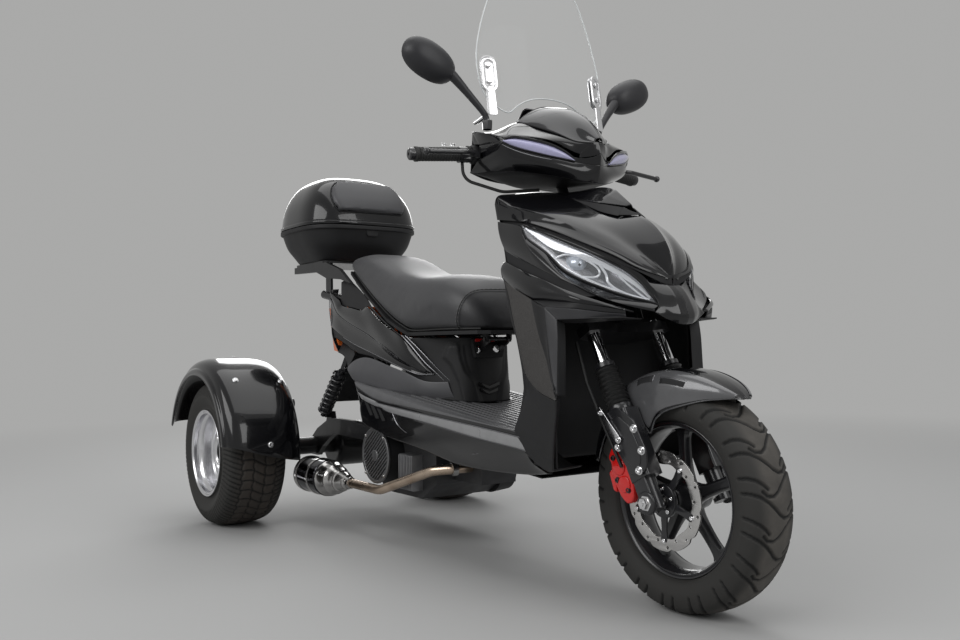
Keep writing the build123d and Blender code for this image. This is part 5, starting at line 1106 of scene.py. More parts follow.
seat_sides = [(234, 62), (250, 102), (300, 126), (380, 137), (480, 143), (600, 150), (700, 155), (800, 155),
              (880, 147), (940, 131), (980, 104), (1003, 66), (1010, 28)]
seat_crown = [(234, 866), (250, 884), (300, 889), (380, 878), (450, 857), (540, 822), (620, 800), (700, 789),
              (780, 788), (850, 782), (915, 763), (960, 733), (990, 692), (1010, 650)]
seat_sole = [(234, 850), (320, 809), (430, 741), (560, 671), (640, 640), (700, 625), (800, 624), (900, 625),
             (1010, 625)]
seat_profile = [(0, 1.0), (0.30, 0.995), (0.58, 0.965), (0.79, 0.88), (0.93, 0.70), (0.995, 0.45), (0.99, 0.22),
                (0.93, 0.06), (0.80, 0.0)]


def seat_row(x, shrink):
    """Section of the seat at x, drawn in by shrink."""
    w = np.interp(x, *zip(*seat_sides)) - shrink
    top = np.interp(x, *zip(*seat_crown)) - shrink
    low = np.interp(x, *zip(*seat_sole)) + shrink * 0.3
    half = natural([(x, w * a, low + (top - low) * b) for a, b in seat_profile], 20)
    return [(p[0], -p[1], p[2]) for p in half[::-1]] + [tuple(p) for p in half[1:]]


seat_sides, seat_crown, seat_sole = [natural(table, 60) for table in (seat_sides, seat_crown, seat_sole)]
stations = np.r_[234, np.linspace(240, 1004, 86), 1009.5]
rows = [seat_row(x, 2.5) for x in stations]
verts = [P(*p) for row in rows for p in row]
n = len(rows[0])
faces = sheet_faces(len(rows), n)
faces += [(i * n, (i + 1) * n, (i + 2) * n - 1, (i + 1) * n - 1) for i in range(len(rows) - 1)]
faces += [tuple(range(n)), tuple((len(rows) - 1) * n + k for k in range(n - 1, -1, -1))]
seat_cover = leather("seat_vinyl", (0.048, 0.048, 0.051), dark_from=P(SEAM_X, 0, 0).x - SEAM_LEAN * 0.70,
                     dark_color=(0.018, 0.018, 0.020))
seat = make("seat_cushion_cover", verts, faces, seat_cover, "seat_body")
swell(seat, 0.0065, 0.004)
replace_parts(seat, "seat_cushion")


# the seam leans, so its x at each height is found in a few steps
front_seam = []
for k in range(41):
    u = k / 40
    x = float(SEAM_X)
    for _ in range(6):
        row = seat_row(x, -0.2)
        z = row[int(round(u * (len(row) - 1)))][2]
        x = SEAM_X + SEAM_LEAN * (z - 700)
    front_seam.append(seat_row(x, -0.2)[int(round(u * (len(row) - 1)))])
sole_line = [seat_row(x, -0.4)[1] for x in np.linspace(250, 985, 60)]
tubes("seat_piping", [(front_seam, 1.5)], rubber, "seat_body", sides=8)
tubes("seat_lower_edge", [(sole_line, 3.0)], rubber, "seat_body", sides=8, mirror=True)
stitches = []
for offset in (-5.5, 5.5):
    line = natural([(p[0] + offset, p[1], p[2] + 0.5) for p in front_seam], 120)
    for k in range(0, 118, 3):
        stitches.append(([tuple(line[k]), tuple(line[k + 1])], 0.55))
tubes("seat_stitching", stitches, material("grey_thread", (0.20, 0.20, 0.20), 0.8, noise=0.2), "seat_body", sides=5)


# ---------------------------------------------------------------- top box
BOX_X, BOX_LENGTH, BOX_WIDTH, BOX_SIDES = 15, 404, 432, 96


def box_power(radius, half_x, half_y):
    """Power of the rounded outline: two is an ellipse and more is squarer."""
    return max(2.2, 2.2 + (1 - radius / min(half_x, half_y)) * 3.0)


def box_solid(name, levels, count, mat, body, low=False, high=False):
    """Wall through levels of (height, shrink, corner radius, move forward), closed below or above if asked."""
    verts = []
    for z, shrink, radius, move in natural(levels, count):
        half_x, half_y = (BOX_LENGTH - shrink) / 2, (BOX_WIDTH - shrink) / 2
        power = 2 / box_power(radius, half_x, half_y)
        for c, s in circle(0, 0, 1, BOX_SIDES):
            verts.append(P(BOX_X + move + math.copysign(abs(c) ** power, c) * half_x,
                           math.copysign(abs(s) ** power, s) * half_y, z))
    faces = sheet_faces(count, BOX_SIDES, ring=True)
    if low:
        faces.append(tuple(range(BOX_SIDES - 1, -1, -1)))
    if high:
        faces.append(tuple((count - 1) * BOX_SIDES + k for k in range(BOX_SIDES)))
    return make(name, verts, faces, mat, body, angle=35)


tub = box_solid("box_tub_shell", [(881, 132, 70, 0), (884, 118, 74, 0), (906, 88, 80, 0), (932, 52, 92, 0),
                                  (960, 30, 98, 0), (984, 15, 106, 0)], 30, matte, "chassis", low=True)
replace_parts(tub, "box_tub")
box_solid("box_tub_rim", [(983, 14, 106, 0), (984, 3, 110, 0), (988, 1, 111, 0), (994, 1, 111, 0), (997, 3, 110, 0),
                          (997.6, 12, 108, 0)], 14, matte, "chassis")
box_solid("box_tub_inside", [(997.6, 12, 108, 0), (985, 24, 104, 0), (932, 62, 88, 0), (890, 122, 68, 0),
                             (888, 160, 60, 0)], 16, dark, "chassis", high=True)
lid_levels = [(1011, 10, 108, 0), (1024, 12, 107, 0), (1060, 25, 104, -2), (1098, 52, 99, -5), (1134, 96, 91, -10),
              (1160, 150, 82, -14), (1176, 214, 70, -17), (1182, 270, 60, -18), (1183.6, 330, 50, -18)]
lid = box_solid("box_lid_shell", lid_levels, 44, gloss, "lid_body", high=True)
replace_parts(lid, "box_lid")
box_solid("box_lid_rim", [(999.4, 12, 108, 0), (999.6, 4, 110, 0), (1002, 1, 111, 0), (1008, 1, 111, 0),
                          (1011, 4, 110, 0), (1012, 12, 108, 0)], 14, gloss, "lid_body")
box_solid("box_lid_inside", [(999.4, 12, 108, 0), (1012, 20, 104, 0), (1060, 36, 98, -2), (1098, 62, 93, -5),
                             (1134, 106, 85, -10), (1158, 160, 76, -14), (1173, 226, 64, -17),
                             (1178, 300, 52, -18)], 20, dark, "lid_body", high=True)
lid_table = natural(lid_levels[:7], 60).T


def lid_front(y, z):
    """Forward face of the lid at this half width and height."""
    shrink, radius, move = [np.interp(z, lid_table[0], lid_table[k]) for k in (1, 2, 3)]
    half_x, half_y = (BOX_LENGTH - shrink) / 2, (BOX_WIDTH - shrink) / 2
    power = box_power(radius, half_x, half_y)
    inside = max(0, 1 - (abs(y) / half_y) ** power)
    return BOX_X + move + half_x * inside ** (1 / power)


PAD_ROWS, PAD_COLS = 26, 44


def lid_patch(low, high, half, puff, grow):
    """Pad over the forward face of the lid, thick in the middle and thin at its rounded border."""
    verts = []
    for b in [i / (PAD_ROWS - 1) * 2 - 1 for i in range(PAD_ROWS)]:
        for a in [j / (PAD_COLS - 1) * 2 - 1 for j in range(PAD_COLS)]:
            squeeze = 1 - 0.32 * max(0, abs(b) - 0.35) ** 2 * abs(a)
            z = (low + high) / 2 + (high - low) / 2 * b * (1 - 0.10 * a * a * (b > 0))
            y = half * a * squeeze * (1 - 0.16 * max(0, b))
            edge = min(1, (1 - abs(a)) * 9, (1 - abs(b)) * 6)
            rise = grow + puff * math.sqrt(max(0, 1 - (1 - edge) ** 2))
            verts.append(P(lid_front(y, z) + rise, y, z + rise * 0.35 * max(0, b)))
    return verts


pad_cover = leather("pad_vinyl", (0.052, 0.052, 0.056), scale=200)
verts = lid_patch(1043, 1158, 138, 13, 0.6)
n, m = len(verts), PAD_COLS
verts += [Vector((v.x - 0.008, v.y * 0.99, v.z - 0.001)) for v in verts]
border = list(range(m)) + [i * m + m - 1 for i in range(1, PAD_ROWS)] + \
    list(range(n - 2, n - m - 1, -1)) + [i * m for i in range(PAD_ROWS - 2, 0, -1)]
faces = sheet_faces(PAD_ROWS, m) + [tuple(reversed(f)) for f in sheet_faces(PAD_ROWS, m, n)] + \
    [(a, b, b + n, a + n) for a, b in zip(border, border[1:] + border[:1])]
pad = make("box_pad_cushion", verts, faces, pad_cover, "lid_body")
swell(pad, 0.005, 0.003)
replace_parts(pad, "box_pad")
# Dark ring round the pad's border: painted shade where the pad meets the lid
ring_v, ring_f = tube_mesh([verts[i] + Vector((0.0006, 0, 0)) for i in border[::2]], 0.0024, 6, closed=True)
make("box_pad_border", ring_v, ring_f, dark, "lid_body")
latch = axes((-183, 0, 0), (0, -1, 0), (0, 0, 1))
plates("box_latch", [([rounded([(-34, 1034), (34, 1034), (28, 1002), (-28, 1002)], 6)], latch, 9, 2)], gloss,
       "lid_body")
plates("box_latch_base", [([rounded([(-26, 996), (26, 996), (20, 962), (-20, 962)], 6)],
                           axes((206, 0, 0), (0, 1, 0), (0, 0, 1)), 7, 2)], matte)
lathe("box_lock", [(P(-187.5, 0, 1018), (-1, 0, 0), [(8, -1), (8, 1), (6.5, 2), (3, 2), (2.6, 1), (0.1, 1)])], chrome,
      "lid_body", 28)


# ---------------------------------------------------------------- handlebar cowl, lenses and visor
cowl_centre = [(1108, 0, 1120), (1150, 0, 1146), (1212, 0, 1160), (1280, 0, 1134), (1340, 0, 1098), (1384, 0, 1068)]
cowl_mid = [(1104, -105, 1118), (1140, -108, 1137), (1207, -119, 1138), (1257, -101, 1118), (1324, -76, 1088),
            (1352, -48, 1071), (1379, -20, 1066)]
brow = [(1133, -205, 1119), (1180, -212, 1107), (1232, -205, 1091), (1255, -197, 1083), (1270, -187, 1085),
        (1287, -168, 1084), (1315, -130, 1078), (1333, -97, 1068), (1347, -69, 1052), (1361, -42, 1040),
        (1376, -20, 1042)]
lens_low = [(1168, -207, 1078), (1215, -209, 1074), (1262, -205, 1070), (1279, -186, 1057), (1305, -153, 1043),
            (1328, -110, 1032), (1344, -77, 1025), (1356, -49, 1020), (1373, -22, 1014), (1384, 0, 1013)]
belly = [(1162, -206, 1048), (1210, -203, 1040), (1262, -188, 1026), (1310, -145, 1014), (1345, -88, 1004),
         (1368, -36, 996), (1379, 0, 992)]
cowl_low = [(1114, -200, 1018), (1153, -192, 1012), (1212, -176, 1007), (1275, -140, 1000), (1330, -80, 985),
            (1360, -38, 974), (1370, 0, 971)]
cowl_top = panel("bar_cowl_top", [cowl_centre, cowl_mid, brow], gloss, "steering", nu=50, nv=16,
                 outside=(1240, 0, 1040))
panel("bar_cowl_face", [brow[:3] + [(1262, -198, 1078), (1290, -164, 1064), (1318, -125, 1052), (1340, -80, 1040),
                                    (1358, -44, 1031), (1375, -20, 1032), (1388, 0, 1040)], lens_low],
      gloss, "steering", nu=50, nv=6, outside=COWL_MIDDLE)
panel("bar_cowl_nose", [[(1384, 0, 1068), (1379, -20, 1066), (1361, -42, 1042)],
                        [(1388, 0, 1040), (1375, -20, 1034), (1358, -44, 1031)]], gloss, "steering", nu=12, nv=6,
      outside=(1300, 0, 1050))
panel("bar_cowl_belly", [lens_low, belly, cowl_low], gloss, "steering", nu=50, nv=16, outside=COWL_MIDDLE)
panel("bar_cowl_under", [cowl_low, [(1118, -100, 1006), (1160, -90, 985), (1230, -70, 986), (1300, -40, 980),
                                    (1366, 0, 972)], [(1122, 0, 1000), (1160, 0, 984), (1300, 0, 975),
                                                      (1366, 0, 972)]], matte, "steering", nu=30, nv=10,
      outside=COWL_MIDDLE)
rear_top = [(1133, -204, 1118), (1118, -160, 1119), (1106, -100, 1118), (1104, 0, 1120)]
rear_low = [(1114, -199, 1018), (1104, -150, 1008), (1098, -90, 1003), (1096, 0, 1002)]
panel("bar_cowl_back", [rear_top, between(rear_top, rear_low, 0.5, 0), rear_low], matte, "steering", nu=30, nv=10,
      outside=COWL_MIDDLE)
panel("bar_cowl_cheek", [[(1133, -204, 1117), (1131, -203, 1100), (1128, -200, 1088)],
                         [(1168, -206, 1108), (1170, -207, 1094), (1168, -206, 1080)]], gloss, "steering", nu=8,
      nv=5, outside=(1200, 0, 1090))
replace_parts(cowl_top, "handlebar_cowl")
lens_top = [(1264, -199, 1074), (1279, -180, 1078), (1302, -150, 1072), (1326, -109, 1060), (1343, -76, 1043),
            (1353, -55, 1026)]
lens_base = [(1263, -204, 1071), (1280, -185, 1059), (1305, -153, 1046), (1328, -110, 1035), (1344, -77, 1028),
             (1354, -54, 1023)]
lens_mid = [(1266, -205, 1073), (1283, -189, 1070), (1308, -157, 1061), (1331, -114, 1049), (1347, -79, 1036),
            (1355, -55, 1024)]
lens = panel("signal_lenses", [lens_top, lens_mid, lens_base], signal, "steering", nu=40, nv=12, thickness=0.004,
             outside=COWL_MIDDLE)
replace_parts(lens, "bar_lights")
tubes("lens_borders", [(shift(lens_top, 2, 2, 3), [1.5, 3.6, 3.6, 3.0, 1.5]),
                       (shift(lens_base, 1, 1, -1), 1.6)], gloss, "steering", 8, samples=40,
      mirror=True)
# Thin bright lines on the cowl's creases: painted highlights
tubes("cowl_creases", [([(1262, -205, 1064), (1279, -187, 1051), (1305, -155, 1036), (1330, -110, 1025),
                         (1350, -66, 1018)], [0.8, 1.3, 0.8]),
                       ([(1136, -204, 1120), (1180, -213, 1108), (1232, -206, 1092), (1256, -198, 1084)], 1.2)],
      edge_highlight_mat, "steering", 6, samples=30, mirror=True)
visor = [[(1214, 0, 1190), (1274, 0, 1174), (1312, 0, 1153), (1349, 0, 1123), (1384, 0, 1080)],
         [(1212, -50, 1184), (1268, -46, 1165), (1310, -38, 1141), (1346, -26, 1111), (1382, -10, 1077)],
         [(1209, -95, 1160), (1262, -82, 1141), (1318, -60, 1112), (1351, -36, 1083), (1381, -12, 1070)],
         [(1207, -118, 1140), (1257, -100, 1121), (1324, -75, 1091), (1351, -48, 1073), (1380, -18, 1067)]]
smoked = material("smoked_visor", (0.020, 0.020, 0.022), 0.14, coat=1.0, coat_rough=0.02, rough_var=0.04, spec=0.4)
dome = panel("visor_dome", visor, smoked, "steering", nu=40, nv=18, outside=(1240, 0, 1080))
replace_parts(dome, "cowl_visor")
tubes("visor_border", [(shift(visor[3], dy=1), 1.6)], gloss, "steering", 6, samples=40,
      mirror=True)
dash_edge = [(1209, -117, 1140), (1210, -95, 1161), (1213, -50, 1185), (1215, 0, 1191)]
dash_low = [(1130, -108, 1128), (1130, -90, 1132), (1128, -50, 1138), (1127, 0, 1140)]
panel("dash_face", [dash_edge, between(dash_edge, dash_low, 0.5, 0), dash_low], matte, "steering", nu=24, nv=12,
      outside=(1280, 0, 1080))
dial = axes((1166, 0, 1168), (0, -1, 0), (0.86, 0, 0.51))
plates("dash_window", [([rounded([(-84, 30), (84, 30), (72, -26), (-72, -26)], 16)], dial, 6, 1.5)], gloss, "steering")
marks = []
for u, v, r in ((-42, 0, 21), (0, 3, 26), (42, 0, 21)):
    marks.append(([circle(u, v, r, 48), circle(u, v, r - 1.6, 48)], dial, 8, 0.4))
    for k in range(11):
        t = math.radians(225 - 27 * k)
        c, s = math.cos(t), math.sin(t)
        a, b, w = r * 0.72, r * 0.86, 0.5
        marks.append(([[(u + a * c + w * s, v + a * s - w * c), (u + b * c + w * s, v + b * s - w * c),
                        (u + b * c - w * s, v + b * s + w * c), (u + a * c - w * s, v + a * s + w * c)]], dial, 7, 0.1))
plates("dial_marks", marks, white_edge, "steering")
needles = []
for u, v, r, turn in ((-42, 0, 13, 215), (0, 3, 18, 225), (42, 0, 13, 60)):
    t = math.radians(turn)
    c, s = math.cos(t), math.sin(t)
    needle = [(u - 3 * c + s, v - 3 * s - c), (u + r * c, v + r * s), (u - 3 * c - s, v - 3 * s + c)]
    needles.append(([needle], dial, 8, 0.1))
    needles.append(([circle(u, v, 3, 16)], dial, 9, 0.3))
plates("dial_needles", needles, red, "steering")


# ---------------------------------------------------------------- windscreen
lean = math.radians(8)
SCREEN_RADIUS, SCREEN_X, SCREEN_Z, SCREEN_BULGE = 620, 1180, 1110, 34
STRAP_Y, STRAP_Z = 176, 1262


def screen_point(y, z, off=0.0):
    """Point of the screen's front face at this half width and height; off is along its face's normal."""
    turn = math.asin(max(-1, min(1, y / SCREEN_RADIUS)))
    forward = SCREEN_BULGE - SCREEN_RADIUS + (SCREEN_RADIUS + off) * math.cos(turn)
    height = (z - SCREEN_Z - forward * math.sin(lean)) / math.cos(lean)
    return (SCREEN_X + forward * math.cos(lean) - height * math.sin(lean), (SCREEN_RADIUS + off) * math.sin(turn), z)


outline = [(150, 1170), (188, 1205), (202, 1262), (200, 1325), (184, 1392), (163, 1452), (136, 1510), (98, 1550),
           (50, 1571), (0, 1578)]
side_line = natural(outline, 70)
floor_line = natural([(150, 1171), (138, 1166), (126, 1168), (112, 1180), (80, 1200), (40, 1211), (0, 1214)], 40)
SCREEN_COLS, SCREEN_BLEND = 24, 34
rows = []
for k, (y, z) in enumerate(side_line):
    row = []
    for s in [j / SCREEN_COLS for j in range(SCREEN_COLS + 1)]:
        low = np.interp(abs(y) * (1 - s), floor_line[::-1, 0], floor_line[::-1, 1])
        blend = max(0, 1 - k / SCREEN_BLEND) ** 2
        level = z * (1 - blend) + (z + (low - 1171)) * blend
        row.append(P(*screen_point(-y * (1 - s), max(level if k else low, low - 6))))
    rows.append(row)
verts, faces = grid(rows)
mirrored = [Vector((v.x, -v.y, v.z)) for v in verts]
faces += [tuple(reversed(f)) for f in sheet_faces(len(rows), len(rows[0]), len(verts))]
screen_mat = glass("screen_clear", (0.90, 0.92, 0.92), 0.02, 0.045)
screen = make("screen_sheet", verts + mirrored, faces, screen_mat, "steering", angle=40)
rework(screen.data, 0.0004)
thicken(screen, 0.0035)
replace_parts(screen, "windscreen")
edge_line = [screen_point(y, z) for y, z in [(-y, z) for y, z in side_line] + list(side_line[::-1][1:])]
low_line = [screen_point(y, z) for y, z in list(floor_line) + [(-y, z) for y, z in floor_line[::-1][1:]]]
tubes("screen_edge", [(edge_line, 1.7), (low_line, 1.7)], white_edge, "steering", 8)


def capsule(wide, tall, steps=14):
    """Upright outline with round ends."""
    r = wide / 2
    return [(r * math.cos(t), r * math.sin(t) + (tall / 2 - r) * (1 if t <= math.pi else -1))
            for t in [math.pi * k / steps for k in range(steps + 1)] +
            [math.pi * (1 + k / steps) + 1e-6 for k in range(steps + 1)]]


def screen_axes(y, z, off):
    """Drawing plane that lies on the screen."""
    turn = math.asin(y / SCREEN_RADIUS)
    along = (-math.sin(turn) * math.cos(lean), math.cos(turn), -math.sin(turn) * math.sin(lean))
    return axes(screen_point(y, z, off), along, (-math.sin(lean), 0, math.cos(lean)))


strip, screws = [], []
for side in (-1, 1):
    place = screen_axes(side * STRAP_Y, STRAP_Z, 5)
    strip.append(([capsule(42, 96), capsule(26, 76)], place, 5.5, 1.4))
    strip.append(([capsule(27, 77)], screen_axes(side * STRAP_Y, STRAP_Z, 3.5), 3, 0.4))
    strip.append(([rounded([(-11, -30), (11, -30), (13, -108), (-13, -108)], 6)], place, 3.5, 0.8))
    strip.append(([capsule(38, 90)], screen_axes(side * STRAP_Y, STRAP_Z, -6), 3, 0.8))
    screws += [(P(*screen_point(side * STRAP_Y, z, 7)), (math.cos(lean), side * 0.28, math.sin(lean)))
               for z in (STRAP_Z - 20, STRAP_Z + 22)]
bracket = plates("screen_straps", strip, material("strap_alloy", (0.80, 0.80, 0.81), 0.20, 0.85, rough_var=0.06),
                 "steering")
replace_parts(bracket, "screen_brackets")
bolts("screen_screws", screws, chrome, "steering", 7, 4)
feet = [(1150, -178, 1158), (1137, -186, 1150), (1128, -196, 1143)]
tubes("strap_feet", [(feet, [8, 7, 5])], chrome, "steering", 12, mirror=True)


# ---------------------------------------------------------------- mirrors
mirror_shell = material("mirror_shell", (0.024, 0.024, 0.027), 0.42, noise=0.12, spec=0.4, rough_var=0.08, bump=0.2,
                        **FINE)
MIRROR_ROWS, MIRROR_SIDES = 34, 56
verts, faces, glass_parts = [], [], []
for side in (-1, 1):
    tilt = math.radians(24)
    u = Vector((0.0, side * math.cos(tilt), math.sin(tilt)))
    v = Vector((0.0, -side * math.sin(tilt), math.cos(tilt)))
    head = P(1128, side * 327, 1280)
    faces += sheet_faces(MIRROR_ROWS, MIRROR_SIDES, len(verts), ring=True)
    rings = [(0.0, -10), (0.80, -10), (0.93, -9), (0.985, -5), (1.0, 2), (0.985, 10), (0.93, 20), (0.82, 29.5),
             (0.64, 37), (0.42, 41), (0.2, 42.5), (0.0, 43)]
    for a, b in natural(rings, MIRROR_ROWS):
        for c, s in circle(0, 0, 1, MIRROR_SIDES):
            pu = 75 * (1 + 0.04 * c) * math.copysign(abs(c) ** 0.90, c)
            pv = 45 * (1 + 0.10 * c) * math.copysign(abs(s) ** 0.86, s)
            verts.append(head + (u * pu + v * pv) * max(a, 0.002) / 1000 + Vector((b / 1000, 0, 0)))
    glass_parts.append(([[(68 * c, 38 * s) for c, s in circle(0, 0, 1, 60)]],
                        axes((1116.6, side * 327, 1280), u, v), 1.6, 0.4))
shells = make("mirror_heads", verts, faces, mirror_shell, "steering", angle=40)
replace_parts(shells, "mirrors")
plates("mirror_glass", glass_parts, chrome, "steering")
tubes("mirror_stalks", [([(1140, -283, 1262), (1147, -262, 1243), (1156, -228, 1206), (1166, -196, 1168),
                          (1170, -186, 1148), (1171, -184, 1132)], [15, 12.5, 9.5, 8, 8, 8.5])],
      mirror_shell, "steering", 16, samples=40, mirror=True)
nuts = [(P(1171, s * 184, 1134), (0, 0, 1), [(13, -14), (14, 0), (14, 8), (11, 11), (8, 12)]) for s in (-1, 1)]
lathe("mirror_nuts", nuts, black_alloy, "steering", 6)


# ---------------------------------------------------------------- grips and levers
grip_parts, ends = [], []
for side in (-1, 1):
    a, b = Vector((1131, side * 214, 1062)), Vector((1111, side * 362, 1051))
    d = (b - a).normalized()
    length = (b - a).length
    ribs = [(14, 0), (20.5, 0), (21, 2), (21, 6), (17.4, 8)]
    for k in range(16):
        s = 12 + k * (length - 22) / 16
        ribs += [(16.2, s), (17.6, s + 1.2), (17.6, s + 4.6), (16.2, s + 5.8)]
    ribs += [(18.6, length - 9), (18.8, length - 2), (15, length)]
    grip_parts.append((P(*a), d, ribs))
    ends.append((P(*b), d, [(8, -3), (15, -1), (15.5, 3), (15, 12), (12, 14.5), (4, 14.5), (3.6, 12.5), (0.1, 12.5)]))
grip = lathe("grip_rubber", grip_parts, rubber, "steering", 40)
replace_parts(grip, "grips")
lathe("bar_end_weights", ends, black_alloy, "steering", 32)
switch = []
for side in (-1, 1):
    a, b = Vector((1134, side * 188, 1063)), Vector((1131, side * 214, 1061))
    d = (b - a).normalized()
    switch.append((P(*a), d, [(14, -16), (22, -14), (24.5, -8), (25, 8), (24, 18), (21, 22), (15, 23)]))
lathe("switch_housings", switch, matte, "steering", 24)
bolts("lever_bolts", [(P(1140, -268, 1077), (0.25, 0, 1)), (P(1137, -292, 1076), (0.25, 0, 1))], chrome, "steering",
      5.5, 5)


# ---------------------------------------------------------------- leg shield, floor and skirts
shield_plan = natural([(1149, 0), (1158, 44), (1184, 100), (1226, 150), (1266, 184), (1290, 203)], 40)
SHIELD_TOP, SHIELD_FOOT = 930, 377
lean_heights = [SHIELD_FOOT, 404, 440, 475, 519, 570, 620, 700, 800, 870, SHIELD_TOP]
lean_back = [10, 22, 42, 56, 46, 26, 6, -8, -26, -44, -52]
rows = []
for z in np.linspace(SHIELD_TOP, SHIELD_FOOT, 70):
    row = []
    for x, y in both_sides(shield_plan[::-1]):
        w = abs(y)
        spine = 10 * math.exp(-(w / 34) ** 4) * min(1, max(0, (z - 395) / 60))
        back = float(np.interp(z, lean_heights, lean_back)) * (w / 203) ** 1.5
        across, up = (118 - abs(w - 98) * 2.2) / 30, (92 - abs(z - 760)) / 18
        pocket = back + 16 * min(1, max(0, across)) * min(1, max(0, up))
        row.append(P(x - spine + pocket, y, z))
    rows.append(row)
shield = shell("leg_shield_shell", *grid(rows), matte, (1400, 0, 650))
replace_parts(shield, "leg_shield")
lathe("ignition_lock", [(P(1138, -56, 880), (-1, 0, 0.15), [(17, -14), (17, 2), (15, 4), (10, 4.5), (9, 3), (0.1, 3)])],
      black_alloy, "chassis", 40)
tubes("bag_hook", [([(1138, 0, 830), (1118, 0, 826), (1108, 0, 812), (1112, 0, 796), (1122, 0, 792)], [6, 5, 4])],
      chrome, "chassis", 12, samples=24)
deck_grey = material("deck_grey", (0.10, 0.10, 0.104), 0.36, noise=0.15, rough_var=0.08, bump=0.35, bump_scale=700,
                     bump_dist=0.0004)
strip_grey = material("strip_grey", (0.30, 0.30, 0.305), 0.30, 0.2, noise=0.15, coat=0.5, rough_var=0.08)
deck_plane = axes((DECK_X, 0, 482.5), (1, 0, -DECK_FALL), (0, 1, 0))


def on_deck(x):
    """Distance down the sloping floor at this x."""
    return (x - DECK_X) * math.hypot(1, DECK_FALL)


inner = [(560, 184), (650, 171), (720, 156), (790, 130), (845, 98), (880, 66), (905, 44), (924, 24)]
half = [(on_deck(x), y) for x, y in [(452, 187), (560, 187), (1279, 187), (1279, 44), (1150, 40), (1146, 0)]]
notch = [(half[0][0] + 100, 184)] + [(on_deck(x), y) for x, y in inner]
loop = half + [(u, -y) for u, y in half[-2::-1] + notch] + notch[::-1]
deck = plates("floor_board", [([loop], deck_plane, 4, 0.6)], deck_grey)
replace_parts(deck, "foot_deck")
ribs = []
for k in range(-8, 9):
    v = k * 20.5
    start = max([480] + [x for x, y in inner if y > abs(v) - 12] + [932] * (abs(v) < 34))
    if abs(v) > 175:
        start = 600
    a, b = on_deck(start + 26), on_deck(1262 - (60 if abs(v) < 50 else 0))
    ribs.append(([rounded([(a, v - 4.5), (b, v - 4.5), (b, v + 4.5), (a, v + 4.5)], 4, 3)], deck_plane, 9, 1.4))
plates("floor_ribs", ribs, deck_grey)
top_edge = [(437, -184, 479), (575, -184, 461), (707, -184, 444.5), (900, -184, 420), (1100, -184, 395),
            (1290, -184, 371)]
crest = [(470, -203, 464), (520, -206, 449), (610, -207, 427), (750, -208, 415), (900, -208, 405), (1100, -208, 391),
         (1292, -208, 377), (1345, -207, 372)]
strip_top = [(496, -207, 444), (545, -208, 432), (616, -208, 419), (654, -208, 413), (911, -208, 394),
             (1122, -208, 380), (1292, -208, 367), (1345, -207, 361)]
strip_low = [(520, -207, 424), (600, -208, 408), (653, -208, 402), (706, -208, 391), (911, -208, 373),
             (1121, -208, 352), (1294, -208, 339), (1345, -207, 333)]
skirt_mid = [(500, -205, 396), (600, -204, 366), (700, -202, 350), (831, -198, 336), (956, -192, 320),
             (1100, -188, 305), (1296, -192, 312), (1350, -196, 306)]
skirt_low = [(514, -204, 352), (600, -197, 330), (675, -191, 314), (831, -181, 294), (956, -168, 270),
             (1060, -158, 262), (1180, -150, 262), (1290, -148, 268), (1360, -156, 278)]
skirt = panel("skirt_shoulder", [top_edge, [(452, -197, 474), (520, -199, 460), (610, -200, 446), (750, -201, 431),
                                            (900, -201, 414), (1100, -201, 395), (1292, -201, 378)], crest], deck_grey,
              nu=60, nv=10, outside=SKIRT_MIDDLE)
panel("skirt_upper", [crest, strip_top], gloss, nu=60, nv=3, outside=SKIRT_MIDDLE)
panel("skirt_strip", [shift(strip_top, 0, 1.2, 0), between(strip_top, strip_low, 0.5, 2.6),
                      shift(strip_low, 0, 1.2, 0)], strip_grey, nu=60, nv=6, outside=SKIRT_MIDDLE)
panel("skirt_lower", [strip_low, skirt_mid, skirt_low], gloss, nu=60, nv=16, outside=SKIRT_MIDDLE)
panel("skirt_tail", [[(437, -184, 479), (452, -196, 474), (470, -203, 464), (484, -205, 455)],
                     [(462, -184, 440), (474, -194, 434), (486, -202, 428), (498, -205, 420)],
                     [(490, -184, 396), (498, -194, 388), (504, -201, 380), (512, -204, 356)]], gloss, nu=14, nv=12,
      outside=(700, 0, 400))
panel("skirt_floor", [skirt_low, [(520, -120, 350), (675, -110, 318), (831, -100, 296), (956, -100, 272),
                                  (1060, -96, 262), (1180, -90, 262), (1290, -86, 264)]], matte, nu=40, nv=5,
      outside=SKIRT_MIDDLE)
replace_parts(skirt, "side_skirts")
# Thin bright lines on the skirt's strip and panel edges: painted highlights
tubes("skirt_edge_lines", [(shift(strip_top[2:], dy=1.5), [0.8, 1.6, 1.6]),
                           (shift(strip_low[2:], dy=1.5), [0.8, 1.3, 1.3]),
                           ([(690, -209, 401), (712, -209, 389), (731, -206, 363), (762, -204, 345), (782, -202, 338)],
                            [0.6, 1.6, 0.8]),
                           ([(1090, -190, 303), (1180, -189, 318), (1288, -191, 331)], [0.6, 1.5, 0.8])],
      edge_highlight_mat, sides=6, samples=40, mirror=True)
vents = [[(537, 417), (557, 413), (590, 379), (573, 377)], [(577, 409), (598, 405), (629, 371), (609, 369)],
         [(616, 401), (637, 397), (667, 366), (648, 364)]]
cuts = []
for side in (-1, 1):
    place = axes((0, side * 207.5, 0), (-side, 0, 0), (0, 0, 1))
    for v in vents:
        loop = [(-side * x, z) for x, z in v]
        cuts.append(([rounded(loop, 3, 3)], place, 2.2, 0.5))
plates("skirt_vents", cuts, dark)

